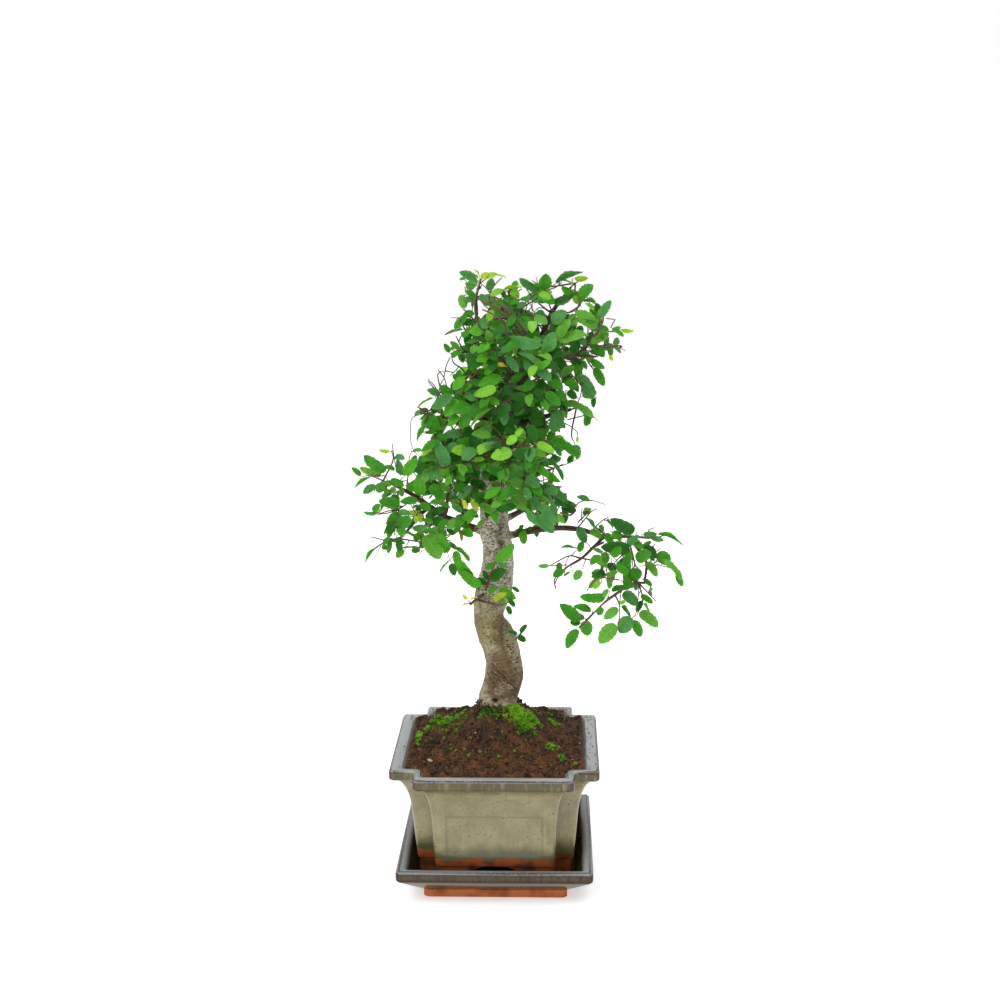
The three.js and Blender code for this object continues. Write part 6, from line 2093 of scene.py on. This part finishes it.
    def fits(self, leaf: Leaf, open_growth: float) -> bool:
        """Whether a leaf grows: in the tree's outline, out of its openings and not before a measured leaf.

        Args:
            leaf: the leaf.
            open_growth: the share of leaves that an airy spray leaves out.

        Returns:
            Whether it is kept.
        """
        middle = leaf.base + leaf.along * (self.petiole + 0.5 * leaf.length)
        around = ((self.margin, 0, 0), (-self.margin, 0, 0), (0, 0, self.margin), (0, 0, -self.margin))
        if not all(self.inside(middle + way) for way in around):
            open_growth += self.ragged
        if draw(int(10 * leaf.length), int(10 * leaf.base[0])) < open_growth:
            return False
        clear = np.hypot(*(self.openings[:, :2] - from_front(middle)).T) - self.openings[:, 2]
        if clear.min() < 0.3 * leaf.length:
            return False
        tip = leaf.base + leaf.along * (self.petiole + leaf.length)
        apart = np.hypot(*(self.front - from_front(middle)).T)
        hides = bool(((apart < self.room) & (self.depth > middle[1] - 6)).any())
        return not hides and self.inside(middle) and self.inside(tip)

    def seen_leaf(self, row: tuple, number: int) -> Leaf:
        """One of the leaves that show in front, from its row of the table."""
        x, y, z, dx, dz, w, letter = row
        flat = math.hypot(dx, dz)
        forward = (0.25 + 0.2 * draw(number, 1)) * (1.0 if y < 20 else 0.3)
        reach = np.array((dx, -forward * flat, dz), float)
        length = float(np.linalg.norm(reach))
        along = reach / length
        real = max(w, 0.45 * length)
        facing = np.array((0.04, -1.0, 0.42)) + 0.35 * UP
        facing = facing + 0.5 * np.array((draw(number, 2) - 0.5, 0.0, draw(number, 3) - 0.5))
        normal = unit(facing - along * float(facing @ along))
        roll = math.acos(min(w / real, 1.0)) * (1 if number % 2 else -1)
        normal = turned(normal, along, roll)
        wide = min(max(real / (0.58 * length), 0.75), 1.4)
        base = np.array((x, y, z), float) - along * self.petiole
        return Leaf(base, along, normal, length, wide, 0.3 * draw(number, 4) - 0.05, TONES[letter])

    def put_leaf(self, pile: Pile, leaf: Leaf) -> None:
        """Copies the blade to a leaf's place, with its stalk."""
        places, faces, skin = self.blade
        across = np.cross(leaf.normal, leaf.along)
        x, y, z = places.T
        lift = z - leaf.bend * x**2 + 0.03 * np.sin(9 * x) * np.sign(y)
        start = leaf.base + leaf.along * self.petiole
        flat = np.outer(x, leaf.along) + np.outer(y * leaf.wide, across)
        body = start + leaf.length * (flat + np.outer(lift, leaf.normal))
        colour = np.array(linear(leaf.tone.value))[:3]
        pile.put(body, faces, colour, 1, skin)
        stalk, sides = tube(Route([leaf.base, start + leaf.along * 0.6]), [0.3, 0.22], 3, 4)
        pile.put(stalk, sides, colour * 0.8 + np.array((0.03, 0.02, 0.0)), 0)

    def put_twig(self, pile: Pile, route: Route, thick: float, thin: float) -> None:
        """Adds a twig, dark brown at its foot and paler to its tip, with a radius at each end."""
        sides = 6 if thick > 0.5 else 4
        places, faces = tube(route, list(np.linspace(thick, thin, len(route.way))), sides, 2.5)
        foot, tip = (paint[:3] for paint in paints("#3c2515", "#65462c"))
        share = np.repeat(np.linspace(0, 1, len(places) // sides), sides)[:, None]
        pile.put(places, faces, foot * (1 - share) + tip * share, 0)

    def put_seen(self, pile: Pile, plan: SprayPlan, twigs: np.ndarray, number: int) -> None:
        """Adds the leaves that show in front and the twiglets that hold them.

        Args:
            pile: the spray's pile.
            plan: the spray.
            twigs: points along its twigs.
            number: the spray's number, for the draws.
        """
        for k, row in enumerate(SEEN.get(plan.name, [])):
            leaf = self.seen_leaf(row, 100 * number + k)
            self.put_leaf(pile, leaf)
            apart = np.linalg.norm(twigs - leaf.base, axis=1)
            start = twigs[apart.argmin()]
            if apart.min() > 1:
                middle = (start + leaf.base) / 2 + UP * 0.08 * float(apart.min())
                self.put_twig(pile, Route([start, middle, leaf.base]), 0.42, 0.28)

    def spray(self, plan: SprayPlan, number: int, materials: list[bpy.types.Material]) -> bpy.types.Object:
        """Makes one spray of twigs and leaves in the place of its solid."""
        pile = Pile()
        kept = 0
        measured = plan.name.startswith("shoot_")
        small, open_growth = self.small, 0.1 if plan.name.startswith("left") else 0.28
        if plan.name in AIRY:
            small, open_growth = 0.7, 0.45
        first: Route | None = None
        points = [self.wood]
        for k, shoot in enumerate(plan.shoots):
            way = list(shoot.way)
            if shoot.fork is not None and first is not None:
                way = [first.point(shoot.fork), *way]
            route = Route(way)
            if shoot.leaves > 0:
                seed = 10 * number + kept
                kept += 1
                first = first or route
            else:
                seed = 3000 + 10 * number + k
            self.put_twig(pile, route, self.twig_radius, 0.36)
            points.append(np.array([route.point(i / 20) for i in range(21)]))
            if measured and plan.name in SEEN:
                continue
            for leaf in self.leaves_of(route, abs(shoot.leaves), small * plan.leaf, seed):
                if self.fits(leaf, open_growth):
                    self.put_leaf(pile, leaf)
            for twig, leaves in self.twiglets(route, plan, seed):
                held = [leaf for leaf in leaves if self.fits(leaf, open_growth)]
                if held:
                    self.put_twig(pile, twig, 0.42, 0.28)
                for leaf in held:
                    self.put_leaf(pile, leaf)
        for name, thick, thin, way in BARE:
            if name == plan.name:
                self.put_twig(pile, Route(way), 0.75 * thick, thin)
                points.append(np.array([Route(way).point(i / 12) for i in range(13)]))
        self.put_seen(pile, plan, np.concatenate(points), number)
        piece = pile.build("foliage_" + plan.name, materials)
        settle(piece, "root", "leaves", "spray_" + plan.name)
        return piece

    def inner(self, materials: list[bpy.types.Material]) -> bpy.types.Object:
        """Fills the middle of the crown with short twigs off the upper trunk and the boughs."""
        pile = Pile()
        trunk, thick = grown(TRUNK)
        starts = []
        for k in range(self.trunk_twigs):
            share = 0.67 + 0.32 * k / (self.trunk_twigs - 1)
            starts.append((trunk, share, 13 + 12 * draw(k, 5) + float(radius_at(thick, share))))
        for b, bough in enumerate(BOUGHS):
            way = grown(bough)[0]
            starts += [(way, 0.22 + 0.15 * k, 10 + 9 * draw(b, k)) for k in range(self.bough_twigs)]
        for number, (route, share, long) in enumerate(starts):
            start, along = route.point(share), route.tangent(share)
            if start[2] < self.lowest:
                continue
            side = turned(unit(np.cross(along, (0.3, 0.9, 0.2))), along, 2.4 * number)
            way = unit(side + 0.3 * along + 0.25 * UP) * long
            twig = Route([start, start + 0.5 * way + 1.5 * UP, start + way])
            grown_leaves = self.leaves_of(twig, 3, 12.0, 7000 + 10 * number)
            leaves = [leaf for leaf in grown_leaves if self.fits(leaf, 0.0)]
            if leaves:
                self.put_twig(pile, twig, 0.55, 0.3)
            for leaf in leaves:
                self.put_leaf(pile, leaf)
        piece = pile.build("foliage_inner", materials)
        settle(piece, "root", "leaves")
        return piece

    def build(self) -> None:
        """Makes every spray and fills the crown's middle."""
        materials = [TintedGrain("twig_bark", 0.7, 0.6).material(), LeafSkin().material()]
        for number, plan in enumerate(SPRAYS):
            self.spray(plan, number, materials)
        self.inner(materials)


# Studio


@dataclass
class Studio:
    """Pale floor, soft light and the photograph's point of view."""

    place: tuple[float, float, float] = (0.044, -1.080, 0.532)
    yaw: float = -2.12
    pitch: float = 12.93
    roll: float = -0.51
    lens: float = 55.7

    def camera(self) -> None:
        """Places the camera by its yaw, its pitch down and its roll, in degrees."""
        yaw, pitch, roll = (math.radians(a) for a in (self.yaw, self.pitch, self.roll))
        ahead = Vector((math.sin(yaw) * math.cos(pitch), math.cos(yaw) * math.cos(pitch), -math.sin(pitch)))
        level = Vector((math.cos(yaw), -math.sin(yaw), 0))
        top = level.cross(ahead)
        right = level * math.cos(roll) + top * math.sin(roll)
        above = top * math.cos(roll) - level * math.sin(roll)
        data = bpy.data.cameras.new("camera")
        data.lens = self.lens
        data.sensor_width = 36
        camera = bpy.data.objects.new("camera", data)
        turn = Matrix((right, above, -ahead)).transposed().to_4x4()
        camera.matrix_world = Matrix.Translation(self.place) @ turn
        bpy.context.scene.collection.objects.link(camera)
        bpy.context.scene.camera = camera

    def light(self, name: str, place: tuple, aim: tuple, size: float, power: float) -> None:
        """Adds a square soft white light that faces a point.

        Args:
            name: the lamp's name.
            place: where it stands, in metres.
            aim: the point that it faces.
            size: the length of its side.
            power: its power in watts.
        """
        data = bpy.data.lights.new(name, "AREA")
        data.size = size
        data.energy = power
        lamp = bpy.data.objects.new(name, data)
        lamp.location = place
        lamp.rotation_euler = (Vector(aim) - Vector(place)).to_track_quat("-Z", "Y").to_euler()
        bpy.context.scene.collection.objects.link(lamp)

    def build(self) -> None:
        """Sets up floor, world, lamps and camera."""
        deselect()
        bpy.ops.mesh.primitive_plane_add(size=8, location=(0, 0, -0.0002))
        floor = bpy.context.object
        floor.name = "floor"
        material, _, shader = new_material("floor_paper")
        white = linear("#ffffff")
        feed(shader, {"Base Color": white, "Roughness": 0.9, "Specular IOR Level": 0.0})
        feed(shader, {"Emission Color": white, "Emission Strength": 0.38})
        floor.data.materials.append(material)
        world = bpy.context.scene.world or bpy.data.worlds.new("world")
        bpy.context.scene.world = world
        world.use_nodes = True
        backdrop = world.node_tree.nodes["Background"]
        # Pure white where it shows, softer as a light, so that the crown keeps its shadows
        tree = world.node_tree
        shown = add(tree, "LightPath", out="Is Camera Ray")
        strength = add(tree, "MapRange", {"Value": shown, "To Min": 0.62, "To Max": 1.0})
        feed(backdrop, {"Color": white, "Strength": strength})
        self.light("key", (-0.9, -1.1, 1.5), (0, 0, 0.25), 0.9, 19)
        self.light("fill", (1.3, -0.9, 0.9), (0, 0, 0.2), 1.2, 2)
        self.light("top", (0.2, 0.5, 1.7), (0, 0, 0.3), 1.2, 13)
        bpy.context.scene.view_settings.view_transform = "Standard"
        self.camera()


def main() -> None:
    """Builds the pot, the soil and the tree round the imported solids."""
    logging.basicConfig(level=logging.INFO, format="%(name)s %(message)s")
    Studio().build()
    Saucer().build()
    Pot().build()
    soil = Soil()
    soil.build()
    soil.litter()
    Moss().build()
    Wood().build()
    Foliage(Blade().shape()).build()


if __name__ == "__main__":
    main()
